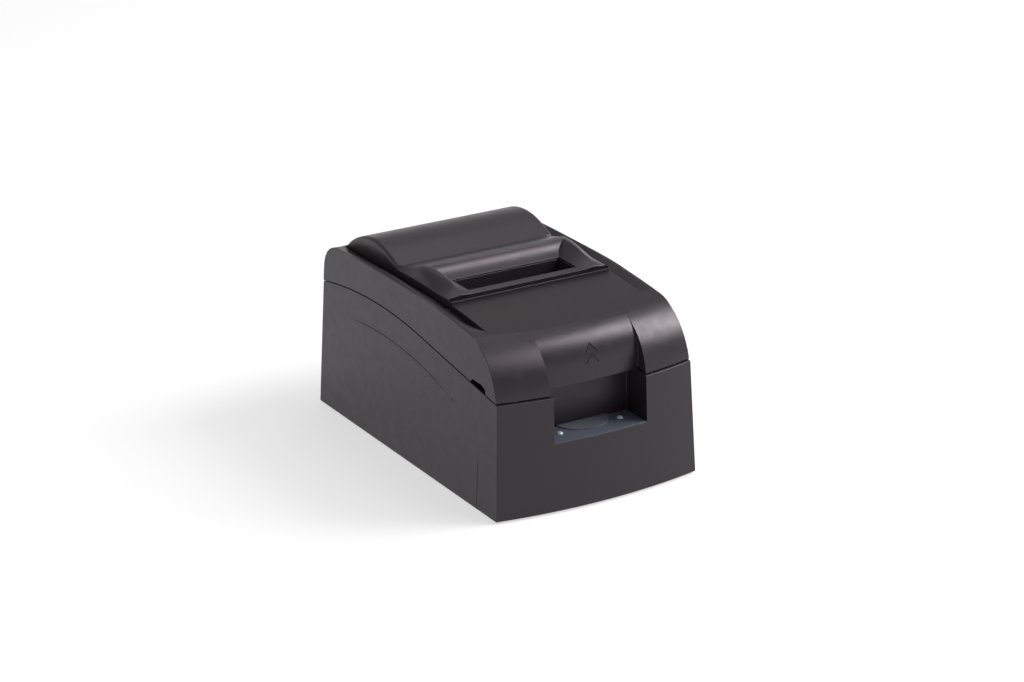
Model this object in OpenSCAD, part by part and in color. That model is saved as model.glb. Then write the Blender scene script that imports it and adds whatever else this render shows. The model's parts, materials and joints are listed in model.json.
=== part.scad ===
// Receipt printer with a moving 9-pin impact head, a drop-in roll well and two hinged covers.
// Millimetres. X to the right, front towards -Y, Z up. Origin: middle of the footprint, on the table.

/* [Case] */
// Width of the lower case at its foot
case_w = 157; // [154:0.5:162]
// Depth at the foot, from the crown of the curved front to the rear
case_d = 252; // [250:0.5:258]
// Wall of the lower case
wall = 2.5; // [2:0.1:3]
// Height of the case's lower edge above the table
foot_h = 1.5; // [1:0.1:2.5]
// Plan radius of the bowed front
front_r = 398.9; // [380:0.1:440]
// Lean of the two sides, mm per mm of height
side_draft = 0.04; // [0.03:0.005:0.05]
// Lean of the front
front_draft = 0.056; // [0.045:0.001:0.06]
// Lean of the rear
rear_draft = 0.037; // [0.03:0.001:0.045]
// Highest point of the joint between case and printer cover
seam_z = 100.3; // [99:0.1:101.5]
// Radius of that joint's curve, seen from the side
seam_r = 400; // [390:1:430]
// Open line between case and cover
seam_gap = 0.5; // [0.3:0.1:0.8]
// Depth of the shallow panel on each side
relief_depth = 0.45; // [0.3:0.05:0.8]

/* [Printer cover] */
// Wall of the covers
cover_wall = 2.4; // [2:0.1:2.8]
// Highest point of the rails beside the roll cover
crown_z = 125.2; // [124.5:0.1:126.5]
// Radius of the rails' crown, seen from the side
crown_r = 870; // [800:10:1000]
// Radius that rolls the top into the front
nose_r = 45.3; // [44:0.1:46.5]
// Radius that rolls the top into the rear
tail_r = 17.5; // [15:0.5:19]
// Rounding along the outer edge of the rails
rail_edge_r = 7; // [5:0.5:8]

/* [Roll cover] */
// Half width of the roll cover
lid_hw = 62.4; // [61:0.1:63]
// Radius of the hump over the paper roll
hump_r = 55; // [54:0.1:56]
// Height of the hump's crown
hump_z = 136.5; // [135.5:0.1:137.5]
// Gap around the roll cover
lid_gap = 0.4; // [0.3:0.05:0.6]
// Top of the collar around the paper slot
collar_z = 134.5; // [133.5:0.1:135]
// Half width of the collar's ridge
collar_hw = 52.6; // [51:0.1:54]

/* [Paper path] */
// Half width of the paper slot
slot_hw = 42.3; // [41:0.1:43.5]
// Length of the slot, front to rear
slot_len = 22.2; // [20:0.1:23]
// Largest paper roll
roll_d = 83; // [80:1:84]
// Width of the paper
paper_w = 76; // [74:0.5:76.5]
// Wall of the roll well
well_wall = 2; // [1.6:0.1:2.4]

/* [Front recess] */
// Half width of the recess
notch_hw = 36; // [35:0.1:38]
// Height of the recess floor
notch_z = 48.85; // [48:0.1:50]
// Depth of the recess behind the crown of the front
notch_depth = 29; // [28:0.1:30]
// Thickness of the printed panel sheet
panel_t = 0.4; // [0.3:0.1:0.6]
// Half width of the feed key
key_hw = 19.4; // [18:0.1:20]
// Front to rear size of the feed key
key_len = 15.6; // [15:0.1:16.5]
// Travel of the feed key
key_travel = 0.8; // [0.5:0.1:1]

/* [Mechanism] */
// Inside half width of the steel frame
frame_hw = 62; // [61:0.5:63]
// Sheet thickness of the steel frame
sheet = 1.5; // [1.2:0.1:1.8]
// Radius of the carriage shafts
shaft_r = 4; // [3.5:0.1:4.5]
// Radius of the feed roller's rubber
feed_r = 6; // [5.6:0.1:6.2]
// Radius of the pinch roller's rubber
pinch_r = 4; // [3.6:0.1:4.2]
// Space for paper between two faces
paper_gap = 0.3; // [0.3:0.05:0.5]
// Head travel to each side of the middle
head_travel = 32; // [28:0.5:33]
// Module of the feed gears
gear_m = 0.8; // [0.8:0.01:0.82]
// Width of the feed gears
gear_w = 5; // [4:0.1:5.5]
// Radius of the belt pulleys
pulley_r = 6; // [5.5:0.1:6.5]
// Running clearance of a shaft in its bore
run_gap = 0.05; // [0.02:0.01:0.1]

/* [Hidden] */
$fn = 64;
eps = 0.01;
z_far = 150;
y_front = -case_d / 2;
y_rear = case_d / 2;
front_axis_y = y_front + front_r;

function half_w(z) = case_w / 2 - side_draft * (z - foot_h);
function rear_y(z) = y_rear - rear_draft * (z - foot_h);
function front_radius(z) = front_r - front_draft * (z - foot_h);

// Joint line: an arc at the rear that runs on in a straight line to the front.
seam_y = y_rear - 81;
seam_slope = 0.1475;
knee_y = seam_y - seam_r * seam_slope / sqrt(1 + seam_slope * seam_slope);
function seam_arc(y) = seam_z - seam_r + sqrt(seam_r * seam_r - pow(y - seam_y, 2));
function seam_at(y) = y > knee_y ? seam_arc(y) : seam_arc(knee_y) - seam_slope * (knee_y - y);

// Printer cover
crown_y = y_rear - 98;
function crown_at(y) = crown_z - crown_r + sqrt(crown_r * crown_r - pow(y - crown_y, 2));
tail_y = rear_y(crown_z - 20) - tail_r;
tail_z = crown_at(tail_y) - tail_r;
nose_y = y_front + 5.7 + nose_r;
nose_z = crown_at(nose_y) + 1.4 - nose_r;
rail_groove = 5.4;
rail_flank_w = 7;
hinge_r = 3;
hinge_y = y_rear - 0.2 - hinge_r;
hinge_z = seam_at(rear_y(seam_z)) + seam_gap / 2;
hinge_x = 55;
hinge_w = 5.4;
hinge_ear_w = 4.6;
pin_r = 1.5;
knuckle_gap = 0.4;
side_grip = [[45.3, 0.4], [38.6, 5.2], [31, 5.5], [24.5, 1.7], [24.5, -2], [45.3, -2]];
grip_y = y_front + 35;

// Roll cover
lid_front_y = y_front + 91.3;
tear_d = 3.6;
slot_y0 = lid_front_y + tear_d + 7.4;
slot_y1 = slot_y0 + slot_len;
slot_z = 125.9;
tear_seat_z = slot_z - 1.4;
ridge_y = slot_y1 + 15.5;
ridge_r = 121;
hump_y = y_rear - 55;
hump_knee = 21;
hump_knee_z = hump_z - hump_r + sqrt(hump_r * hump_r - hump_knee * hump_knee);
crease_y = hump_y - 33.5;
crease_z = hump_knee_z - (33.5 - hump_knee) * hump_knee / sqrt(hump_r * hump_r - hump_knee * hump_knee);
hump_edge_r = 4;
lid_skin = 2.2;
lid_bottom_z = crown_z - 5.8;
lid_hinge_r = 2.5;
lid_hinge_y = y_rear - 15.5;
lid_hinge_z = tail_z + sqrt(tail_r * tail_r - pow(lid_hinge_y - tail_y, 2)) - lid_hinge_r;
lid_rear_y = lid_hinge_y + 2.1;
lid_open_y = lid_rear_y + 1;
lid_pin_r = 1;
lid_hinge_x = 54;
ledge_w = 4.2;
ledge_t = 2.2;

// Front recess
notch_back_y = y_front + notch_depth;
shelf_z = notch_z - panel_t;
scoop_hw = notch_hw + 0.9;
scoop_y = y_front + 20.4;
scoop_r = 41.6;
scoop_turn = 36;
scoop_z = crown_z - 35.2;
mark_z = crown_z - 18.7;
mark_arm = 7.5;
mark_deep = 0.4;
lip_z = seam_at(scoop_y) - 2.2;
key_y = notch_back_y - 0.4;
key_h = 0.8;
key_gap = 0.3;
key_flange_t = 1.2;
led_r = 2.4;
led_at = [[-24, y_front + 17.5], [24, y_front + 19]];
panel_board_z = shelf_z - wall - 8;
board_t = 1.6;

// Base
plate_t = 2.5;
plate_z = foot_h + plate_t;
boss_r = 4;
boss_at = [[case_w / 2 - 10.5, y_front + 22], [case_w / 2 - 10.5, y_rear - 16]];
foot_r = 7;
foot_sink = 1;
foot_at = [[case_w / 2 - 18.5, y_front + 30], [case_w / 2 - 18.5, y_rear - 28]];
post_at = [[case_w / 2 - 14.5, y_rear - 96], [case_w / 2 - 14.5, y_rear - 26]];
board_z = plate_z + 8;
board_hw = 52;
board_y0 = -10;
board_y1 = rear_y(board_z) - wall - 3;
standoff_at = [[46, board_y0 + 6], [46, board_y1 - 22]];

// Roll well
well_r = roll_d / 2 + 2.5;
well_hw = paper_w / 2 + 2;
well_y = y_rear - 58;
well_z = seam_z - 20.3;
deck_z = seam_z - 16.3;
deck_t = 2;
well_front_top = deck_z - 6;

// Mechanism: the paper climbs in the plane y = paper_y, between head and platen.
paper_y = slot_y0 + 4.2;
frame_y0 = y_front + 38;
frame_y1 = paper_y + 35.5;
frame_floor_z = 30;
frame_low_z = seam_z - 8.3;
frame_top_z = frame_low_z + 12;
leg_at = [frame_y0 + 4, frame_y1 - 14];
leg_w = 10;
flange_w = 8;
feed_y = paper_y + paper_gap / 2 + feed_r;
feed_z = frame_low_z - 14;
feed_shaft_r = 3;
pinch_y = paper_y - paper_gap / 2 - pinch_r;
pinch_shaft_r = 2;
platen_d = 5;
platen_h = 10;
platen_face_h = 7;
platen_face_t = 1.2;
print_rise = 18;
print_z = feed_z + print_rise;
shaft_z = feed_z - 4;
shaft_pitch = 18;
head_reach = 18.5;
shaft_ys = [paper_y - head_reach, paper_y - head_reach - shaft_pitch];
carriage_hw = 15;
carriage_z0 = shaft_z - 8;
carriage_z1 = shaft_z + 8;
carriage_y0 = shaft_ys[1] - 6.5;
carriage_y1 = shaft_ys[0] + 9;
ribbon_y = paper_y - 0.5;
ribbon_t = 0.2;
head_tip_y = ribbon_y - 0.5;
belt_z = carriage_z0 - 9;
belt_w = 6;
belt_t = 1.4;
belt_gap = 0.3;
pulley_x = 44;
pulley_y = carriage_y0 - 3.6;
pulley_h = 8;
clamp_y = pulley_y + pulley_r + belt_gap + belt_t + 0.3;
motor_r = 17;
cassette_z = frame_low_z;
cassette_h = 12;
cassette_y1 = frame_y0 + 27;
cassette_hw = frame_hw + 3;
knob_at = [-40, frame_y0 + 13];
knob_r = 7;
knob_h = 5;

// Feed gear train on the outside of the right-hand plate
feed_teeth = 32;
idler_teeth = 30;
pinion_teeth = 12;
gear_x = frame_hw + sheet + 0.8;
tooth_slack = 0.07;
pressure_angle = 20;
mesh_1 = -53;
mesh_2 = 213.5;
idler_d = gear_m * (feed_teeth + idler_teeth) / 2;
pinion_d = gear_m * (idler_teeth + pinion_teeth) / 2;
idler_y = feed_y + idler_d * cos(mesh_1);
idler_z = feed_z + idler_d * sin(mesh_1);
pinion_y = idler_y + pinion_d * cos(mesh_2);
pinion_z = idler_z + pinion_d * sin(mesh_2);
idler_turn = mesh_1 + 180 + 180 / idler_teeth;
idler_lag = (mesh_2 - idler_turn) - floor((mesh_2 - idler_turn) * idler_teeth / 360) * 360 / idler_teeth;
pinion_turn = mesh_2 + 180 + idler_lag * idler_teeth / pinion_teeth + 180 / pinion_teeth;
stud_r = 2;
motor_shaft_r = 1.5;

// Rear sockets: centre in X, width, height; each stands on the board
inlet_x = 44;
usb_x = 25;
drawer_x = 7;
serial_x = -27;
socket_face_y = rear_y(board_z) - 1;
socket_z = board_z + board_t;
switch_x = 52;
switch_z = 56;
switch_w = 13;
rocker_y = rear_y(switch_z) - 3;
switch_h = 19;

charcoal = [0.22, 0.205, 0.215];
dark = [0.12, 0.115, 0.12];
steel = [0.66, 0.67, 0.69];
board_green = [0.06, 0.28, 0.16];

// ---------- shared shapes ----------

// A flat shape drawn as (y, z), carried from x0 to x1.
module along_x(x0, x1) {
    translate([x0, 0, 0]) rotate([90, 0, 90]) linear_extrude(x1 - x0) children();
}

// A flat shape drawn as (x, z), carried from y0 to y1.
module along_y(y0, y1) {
    translate([0, y1, 0]) rotate([90, 0, 0]) linear_extrude(y1 - y0) children();
}

module block(x0, x1, y0, y1, z0, z1) {
    translate([x0, y0, z0]) cube([x1 - x0, y1 - y0, z1 - z0]);
}

module bar_x(r, x0, x1, y, z) {
    translate([x0, y, z]) rotate([0, 90, 0]) cylinder(r = r, h = x1 - x0);
}

module post(r, x, y, z0, z1) {
    translate([x, y, z0]) cylinder(r = r, h = z1 - z0);
}

module both_sides() {
    children();
    mirror([1, 0, 0]) children();
}

// The drafted outer form of case and cover, moved inwards by inset.
module case_form(inset, z0) {
    wide0 = half_w(z0) - inset;
    wide1 = half_w(z_far) - inset;
    intersection() {
        along_y(y_front - 40, y_rear + 40)
            polygon([[-wide0, z0], [wide0, z0], [wide1, z_far], [-wide1, z_far]]);
        along_x(-case_w, case_w)
            polygon([[y_front - 10, z0], [rear_y(z0) - inset, z0],
                     [rear_y(z_far) - inset, z_far], [y_front - 10, z_far]]);
        translate([0, front_axis_y, z0])
            cylinder(r1 = front_radius(z0) - inset, r2 = front_radius(z_far) - inset, h = z_far - z0);
    }
}

// Everything under the joint line, drawn as (y, z) and raised by lift.
module under_seam(lift = 0) {
    translate([0, lift]) {
        intersection() {
            translate([seam_y, seam_z - seam_r]) circle(r = seam_r, $fn = 360);
            translate([knee_y, -20]) square([case_d, case_d]);
        }
        polygon([[knee_y, -20], [knee_y, seam_at(knee_y)],
                 [y_front - 20, seam_at(y_front - 20)], [y_front - 20, -20]]);
    }
}

// ---------- case ----------

module notch_space(grow, floor_z) {
    block(-notch_hw - grow, notch_hw + grow, y_front - 5, notch_back_y + grow, floor_z, z_far);
}

module side_relief() {
    relief_r = 322;
    difference() {
        along_x(-case_w, case_w) intersection() {
            translate([y_rear - 88, seam_z - 19.3 - relief_r]) circle(r = relief_r, $fn = 360);
            translate([y_front + 33, -10]) square([case_d - 43, 110]);
        }
        case_form(relief_depth, -20);
    }
}

module case_posts() {
    intersection() {
        case_form(wall / 2, foot_h);
        both_sides() {
            for (p = boss_at) {
                post(boss_r, p[0], p[1], plate_z, 30);
                block(p[0], p[0] + 12, p[1] - 1, p[1] + 1, plate_z, 30);
            }
            for (p = post_at) {
                post(boss_r, p[0], p[1], plate_z + 6, deck_z);
                block(p[0], p[0] + 12, p[1] - 1, p[1] + 1, plate_z + 6, deck_z);
            }
        }
    }
}

module case_hinge_ears() {
    both_sides() for (side = [-1, 1])
        bar_x(hinge_r, hinge_x + side * (hinge_w / 2 + 0.3 + hinge_ear_w / 2) - hinge_ear_w / 2,
              hinge_x + side * (hinge_w / 2 + 0.3 + hinge_ear_w / 2) + hinge_ear_w / 2, hinge_y, hinge_z);
}

module rear_cutouts() {
    gap = 0.4;
    y0 = y_rear - 12;
    y1 = y_rear + 5;
    z0 = socket_z - gap;
    block(inlet_x - 7 - gap, inlet_x + 7 + gap, y0, y1, z0, socket_z + 13 + gap);
    block(usb_x - 6 - gap, usb_x + 6 + gap, y0, y1, z0, socket_z + 11 + gap);
    block(drawer_x - 7 - gap, drawer_x + 7 + gap, y0, y1, z0, socket_z + 12 + gap);
    block(serial_x - 26.5 - gap, serial_x + 26.5 + gap, y0, y1, z0, socket_z + 12.5 + gap);
    block(switch_x - switch_w / 2 - gap / 2, switch_x + switch_w / 2 + gap / 2, y0, y1,
          switch_z - switch_h / 2 - gap / 2, switch_z + switch_h / 2 + gap / 2);
}

module key_outline(grow) {
    scale_y = (key_len + grow) / (key_hw + grow);
    intersection() {
        translate([0, key_y]) scale([1, scale_y]) circle(r = key_hw + grow);
        translate([-2 * key_hw, key_y - 2 * key_len]) square([4 * key_hw, 2 * key_len + grow]);
    }
}

module lower_case() {
    color(charcoal) difference() {
        union() {
            difference() {
                intersection() {
                    case_form(0, foot_h);
                    along_x(-case_w, case_w) under_seam();
                }
                difference() {
                    case_form(wall, foot_h - 1);
                    notch_space(wall, shelf_z - wall);
                }
                notch_space(0, shelf_z);
                side_relief();
            }
            case_posts();
            case_hinge_ears();
            for (x = [-30, 30]) post(3, x, y_front + 24, panel_board_z + board_t, shelf_z - wall + eps);
        }
        both_sides() {
            bar_x(hinge_r + knuckle_gap, hinge_x - hinge_w / 2 - 0.3, hinge_x + hinge_w / 2 + 0.3, hinge_y, hinge_z);
            bar_x(pin_r, hinge_x - 9, hinge_x + 9, hinge_y, hinge_z);
            for (p = boss_at) post(1.5, p[0], p[1], plate_z - 1, plate_z + 16);
            for (p = post_at) post(1.5, p[0], p[1], deck_z - 14, deck_z + 1);
        }
        for (x = [-30, 30]) post(1, x, y_front + 24, panel_board_z, panel_board_z + 7);
        translate([0, 0, shelf_z - wall - 1]) linear_extrude(wall + 2) key_outline(key_gap);
        for (p = led_at) post(led_r + 0.2, p[0], p[1], shelf_z - wall - 1, shelf_z + 1);
        rear_cutouts();
    }
}

module base_plate() {
    color(dark) difference() {
        union() {
            intersection() {
                case_form(wall + 0.3, foot_h);
                block(-case_w, case_w, y_front, y_rear, foot_h, plate_z);
            }
            both_sides() for (p = standoff_at) post(3, p[0], p[1], plate_z - eps, board_z);
        }
        both_sides() {
            for (p = foot_at) post(foot_r, p[0], p[1], 0, foot_h + foot_sink);
            for (p = boss_at) {
                post(3.2, p[0], p[1], 0, foot_h + 1.5);
                post(1.7, p[0], p[1], 0, plate_z + 1);
            }
            for (y = leg_at) post(1.2, frame_hw + sheet + flange_w / 2, y + leg_w / 2, foot_h + 0.5, plate_z + 1);
            for (p = standoff_at) post(1.1, p[0], p[1], plate_z, board_z + 1);
        }
        for (x = [-30 : 6 : 30]) block(x - 1.25, x + 1.25, -75, -45, 0, plate_z + 1);
    }
}

module rubber_feet() {
    color([0.07, 0.07, 0.07]) both_sides() for (p = foot_at) {
        post(foot_r, p[0], p[1], 0.6, foot_h + foot_sink);
        translate([p[0], p[1], 0]) cylinder(r1 = foot_r - 0.6, r2 = foot_r, h = 0.6);
    }
}

// A pan-head screw, head up, with its seat at z = 0.
module screw(head_r, shank_r, length, head_h = 1.3) {
    cylinder(r = shank_r, h = length);
    difference() {
        translate([0, 0, -head_h]) cylinder(r = head_r, h = head_h);
        for (a = [0, 90]) rotate([0, 0, a])
            translate([-head_r * 0.6, -0.3, -head_h - eps]) cube([head_r * 1.2, 0.6, head_h * 0.5]);
    }
}

module base_screws() {
    color(steel) both_sides() for (p = boss_at) translate([p[0], p[1], foot_h + 1.5]) screw(3, 1.4, 14);
}

// ---------- control panel ----------

module control_panel() {
    color([0.35, 0.41, 0.47]) difference() {
        translate([0, 0, shelf_z]) linear_extrude(panel_t) intersection() {
            translate([0, front_axis_y]) circle(r = front_radius(notch_z) - 0.5, $fn = 720);
            translate([-notch_hw + 0.3, y_front - 5]) square([2 * notch_hw - 0.6, notch_depth + 4.8]);
        }
        translate([0, 0, shelf_z - 1]) linear_extrude(panel_t + 2) key_outline(key_gap);
        for (p = led_at) post(led_r + 0.2, p[0], p[1], shelf_z - 1, notch_z + 1);
    }
}

module led_lenses() {
    color([0.75, 0.8, 0.85]) for (p = led_at) {
        post(led_r, p[0], p[1], panel_board_z + board_t, notch_z);
        translate([p[0], p[1], notch_z]) intersection() {
            translate([0, 0, -1.4]) sphere(r = led_r + 0.4);
            cylinder(r = led_r, h = 3);
        }
    }
}

module panel_board() {
    color(board_green) difference() {
        block(-34, 34, y_front + 11, notch_back_y - 1, panel_board_z, panel_board_z + board_t);
        for (x = [-30, 30]) post(1.1, x, y_front + 24, panel_board_z - 1, panel_board_z + board_t + 1);
    }
    color(dark) block(-3, 3, key_y - 11, key_y - 5, panel_board_z + board_t, panel_board_z + board_t + 1.2);
    color(steel) for (x = [-30, 30]) translate([x, y_front + 24, panel_board_z]) screw(2, 0.95, 6, 1.2);
}

module feed_key() {
    color([0.4, 0.46, 0.52]) {
        translate([0, 0, shelf_z - wall - key_flange_t - 0.1])
            linear_extrude(wall + panel_t + key_h + key_flange_t + 0.1) key_outline(0);
        translate([0, 0, shelf_z - wall - key_flange_t - 0.1]) linear_extrude(key_flange_t)
            intersection() {
                key_outline(1.3);
                translate([-2 * key_hw, key_y - 2 * key_len]) square([4 * key_hw, 2 * key_len]);
            }
        post(1.5, 0, key_y - 8, panel_board_z + board_t + 1.3 + key_travel, shelf_z - wall);
    }
}

// ---------- printing mechanism ----------

module frame_plate_outline() {
    difference() {
        union() {
            polygon([
                [frame_y0, frame_floor_z], [frame_y1, frame_floor_z], [frame_y1, idler_z + 14],
                [feed_y + 10, frame_top_z], [paper_y - 9, frame_top_z], [paper_y - 13, frame_low_z],
                [frame_y0, frame_low_z]
            ]);
            for (y = leg_at) translate([y, plate_z]) square([leg_w, frame_floor_z]);
        }
        translate([pulley_y, frame_floor_z + 24]) circle(r = 8);
        translate([paper_y - 26, frame_floor_z + 20]) circle(r = 9);
    }
}

module mech_frame() {
    color(steel) difference() {
        union() {
            both_sides() {
                along_x(frame_hw, frame_hw + sheet) frame_plate_outline();
                for (y = leg_at)
                    block(frame_hw, frame_hw + sheet + flange_w, y, y + leg_w, plate_z, plate_z + sheet);
            }
            block(-frame_hw - eps, frame_hw + eps, frame_y0, frame_y1, frame_floor_z, frame_floor_z + sheet);
        }
        both_sides() for (y = leg_at)
            post(1.6, frame_hw + sheet + flange_w / 2, y + leg_w / 2, plate_z - 1, plate_z + sheet + 1);
        for (y = shaft_ys) bar_x(shaft_r, -frame_hw - 5, frame_hw + 5, y, shaft_z);
        bar_x(feed_shaft_r + run_gap, -frame_hw - 5, frame_hw + 5, feed_y, feed_z);
        bar_x(pinch_shaft_r + run_gap, -frame_hw - 5, frame_hw + 5, pinch_y, feed_z);
        bar_x(stud_r, frame_hw - 1, frame_hw + 5, idler_y, idler_z);
        bar_x(5, frame_hw - 1, frame_hw + 5, pinion_y, pinion_z);
        block(-30, 20, frame_y0 + 12, paper_y - 10, frame_floor_z - 1, frame_floor_z + sheet + 1);
    }
}

module frame_screws() {
    color(steel) both_sides() for (y = leg_at)
        translate([frame_hw + sheet + flange_w / 2, y + leg_w / 2, plate_z + sheet]) mirror([0, 0, 1])
            screw(2.8, 1.2, sheet + plate_t - 0.6);
}

module platen() {
    y0 = paper_y + paper_gap;
    color([0.45, 0.46, 0.48]) {
        block(-frame_hw, frame_hw, y0 + platen_face_t, y0 + platen_d,
              print_z - platen_h / 2, print_z + platen_h / 2);
        block(-well_hw - 6, well_hw + 6, y0, y0 + platen_face_t + eps,
              print_z - platen_face_h / 2, print_z + platen_face_h / 2);
    }
}

module guide_shafts() {
    color([0.8, 0.81, 0.83]) for (y = shaft_ys) {
        bar_x(shaft_r, -frame_hw - sheet - 1.5, frame_hw + sheet + 1.5, y, shaft_z);
        for (x = [-frame_hw - sheet - 1.5, frame_hw + sheet + 0.7]) bar_x(shaft_r + 1.4, x, x + 0.8, y, shaft_z);
    }
}

module carriage() {
    color(dark) difference() {
        union() {
            block(-carriage_hw, carriage_hw, carriage_y0, carriage_y1, carriage_z0, carriage_z1);
            block(-4, 4, clamp_y, clamp_y + 4, belt_z - belt_w / 2 - 1, carriage_z0 + eps);
        }
        bar_x(shaft_r + run_gap, -carriage_hw - 1, carriage_hw + 1, shaft_ys[0], shaft_z);
        bar_x(shaft_r + run_gap, -carriage_hw - 1, carriage_hw + 1, shaft_ys[1], shaft_z);
        block(-carriage_hw - 1, carriage_hw + 1, shaft_ys[1] - 3, shaft_ys[1] + 3, carriage_z0 - 1, shaft_z);
        block(-9, 9, shaft_ys[1] + 6.5, shaft_ys[0] - 6.5, carriage_z0 + 3, carriage_z1 + 1);
    }
}

module print_head() {
    body_y0 = carriage_y0 + 2;
    body_y1 = carriage_y1 - 1;
    z0 = carriage_z1;
    color([0.3, 0.3, 0.32]) difference() {
        union() {
            block(-13, 13, body_y0 + 12, body_y1, z0, print_z + 8);
            for (i = [0 : 4])
                block(-12, 12, body_y0 + i * 2.5, body_y0 + i * 2.5 + 1.2, z0, print_z + 7);
            block(-10, 10, body_y0, body_y0 + 13, z0, z0 + 4);
            block(-10, 10, body_y0, body_y0 + 13, print_z - 2, print_z + 4);
        }
        for (x = [-10.5, 10.5]) post(1.2, x, body_y1 - 4, print_z, print_z + 10);
    }
    color(steel) {
        along_x(-6, 6) polygon([[body_y1 - eps, print_z - 8], [head_tip_y - 5, print_z - 3.2],
                                [head_tip_y - 5, print_z + 3.2], [body_y1 - eps, print_z + 8]]);
        block(-2.4, 2.4, head_tip_y - 5 - eps, head_tip_y, print_z - 2.4, print_z + 2.4);
    }
}

// ---------- ribbon ----------

module ribbon_cassette() {
    arm_x0 = carriage_hw + head_travel + 2.5;
    arm_x1 = arm_x0 + 6;
    z1 = cassette_z + cassette_h;
    color(dark) difference() {
        union() {
            block(-cassette_hw, cassette_hw, frame_y0, cassette_y1, cassette_z, z1);
            both_sides() block(arm_x0, arm_x1, cassette_y1 - eps, ribbon_y - 3, cassette_z + 1, z1 - 1);
            both_sides() along_x(arm_x0, arm_x1)
                polygon([[ribbon_y - 3.1, cassette_z + 1], [ribbon_y + 0.3, print_z - 4.4],
                         [ribbon_y + 0.3, print_z + 4.4], [ribbon_y - 3.1, z1 - 1]]);
        }
        both_sides() block(arm_x0 - 1, arm_x0 + 2, ribbon_y - ribbon_t / 2 - 0.05, ribbon_y + 3,
                           print_z - 6, print_z + 6);
        post(3 + run_gap, knob_at[0], knob_at[1], z1 - 8, z1 + 1);
        block(-18, 18, frame_y0 - 1, cassette_y1 + 1, cassette_z - 1, cassette_z + 2.5);
    }
}

module ribbon_band() {
    x = carriage_hw + head_travel + 4.4;
    color([0.1, 0.06, 0.16])
        block(-x, x, ribbon_y - ribbon_t / 2, ribbon_y + ribbon_t / 2, print_z - 4, print_z + 4);
}

module ribbon_knob() {
    z1 = cassette_z + cassette_h;
    color([0.16, 0.3, 0.5]) translate([knob_at[0], knob_at[1], 0]) {
        post(3, 0, 0, z1 - 7, z1 + 0.4);
        difference() {
            post(knob_r, 0, 0, z1 + 0.3, z1 + 0.3 + knob_h);
            for (i = [0 : 11]) rotate([0, 0, i * 30]) post(0.8, knob_r, 0, z1 + 1.3, z1 + 1 + knob_h);
        }
        block(-knob_r + 1.5, knob_r - 1.5, -1, 1, z1 + knob_h, z1 + knob_h + 1.5);
    }
}

// ---------- carriage drive ----------

module carriage_motor() {
    z0 = frame_floor_z + sheet;
    z1 = belt_z - pulley_h / 2 - 1.6;
    color([0.5, 0.51, 0.53]) difference() {
        union() {
            post(motor_r, pulley_x, pulley_y, z0, z1 - 1);
            post(5, pulley_x, pulley_y, z1 - 1 - eps, z1);
        }
        post(motor_shaft_r + run_gap, pulley_x, pulley_y, z1 - 8, z1 + 1);
    }
}

module pulley(x) {
    z0 = belt_z - pulley_h / 2;
    translate([x, pulley_y, 0]) {
        post(pulley_r, 0, 0, z0, z0 + pulley_h);
        post(pulley_r + 1.6, 0, 0, z0 - 0.8, z0 + 0.3);
        post(pulley_r + 1.6, 0, 0, z0 + pulley_h - 0.3, z0 + pulley_h + 0.6);
    }
}

module drive_pulley() {
    z1 = belt_z - pulley_h / 2 - 1.6;
    color([0.85, 0.84, 0.78]) pulley(pulley_x);
    color(steel) post(motor_shaft_r, pulley_x, pulley_y, z1 - 7, belt_z + pulley_h / 2 + 2);
}

module idler_pulley() {
    color([0.85, 0.84, 0.78]) difference() {
        pulley(-pulley_x);
        post(stud_r + run_gap, -pulley_x, pulley_y, frame_floor_z, z_far);
    }
}

module idler_stud() {
    z0 = frame_floor_z + sheet;
    z1 = belt_z + pulley_h / 2 + 0.9;
    color(steel) {
        post(5, -pulley_x, pulley_y, z0, belt_z - pulley_h / 2 - 1.1);
        post(stud_r, -pulley_x, pulley_y, z0, z1);
        post(stud_r + 1.5, -pulley_x, pulley_y, z1 - eps, z1 + 0.8);
    }
}

module belt_loop(r, z0, z1) {
    translate([0, pulley_y, z0]) linear_extrude(z1 - z0) {
        for (x = [-pulley_x, pulley_x]) translate([x, 0]) circle(r = r);
        translate([-pulley_x, -r]) square([2 * pulley_x, 2 * r]);
    }
}

module drive_belt() {
    r = pulley_r + belt_gap;
    color([0.05, 0.05, 0.05]) difference() {
        belt_loop(r + belt_t, belt_z - belt_w / 2, belt_z + belt_w / 2);
        belt_loop(r, belt_z - belt_w, belt_z + belt_w);
    }
}

// ---------- paper feed ----------

module feed_motor() {
    color([0.5, 0.51, 0.53]) difference() {
        union() {
            bar_x(motor_r, frame_hw - 22, frame_hw, pinion_y, pinion_z);
            bar_x(4.8, frame_hw - eps, frame_hw + 0.5, pinion_y, pinion_z);
        }
        bar_x(motor_shaft_r + run_gap, frame_hw - 10, frame_hw + 2, pinion_y, pinion_z);
    }
}

function involute_deg(a) = tan(a) * 180 / PI - a;
function tooth_half_angle(r, n) =
    90 / n - tooth_slack / (gear_m * n / 2) * 180 / PI + involute_deg(pressure_angle)
    - involute_deg(acos(min(1, gear_m * n / 2 * cos(pressure_angle) / r)));

module gear_outline(n) {
    pitch_r = gear_m * n / 2;
    tip_r = pitch_r + 0.9 * gear_m;
    root_r = pitch_r - 1.25 * gear_m;
    low_r = max(pitch_r * cos(pressure_angle), root_r + 0.01);
    steps = 3;
    flank = [for (i = [0 : steps]) low_r + (tip_r - low_r) * i / steps];
    tooth = concat(
        [[root_r, -tooth_half_angle(low_r, n)]],
        [for (r = flank) [r, -tooth_half_angle(r, n)]],
        [for (i = [steps : -1 : 0]) [flank[i], tooth_half_angle(flank[i], n)]],
        [[root_r, tooth_half_angle(low_r, n)]]
    );
    polygon([for (k = [0 : n - 1]) for (p = tooth) p[0] * [cos(p[1] + k * 360 / n), sin(p[1] + k * 360 / n)]]);
}

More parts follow.
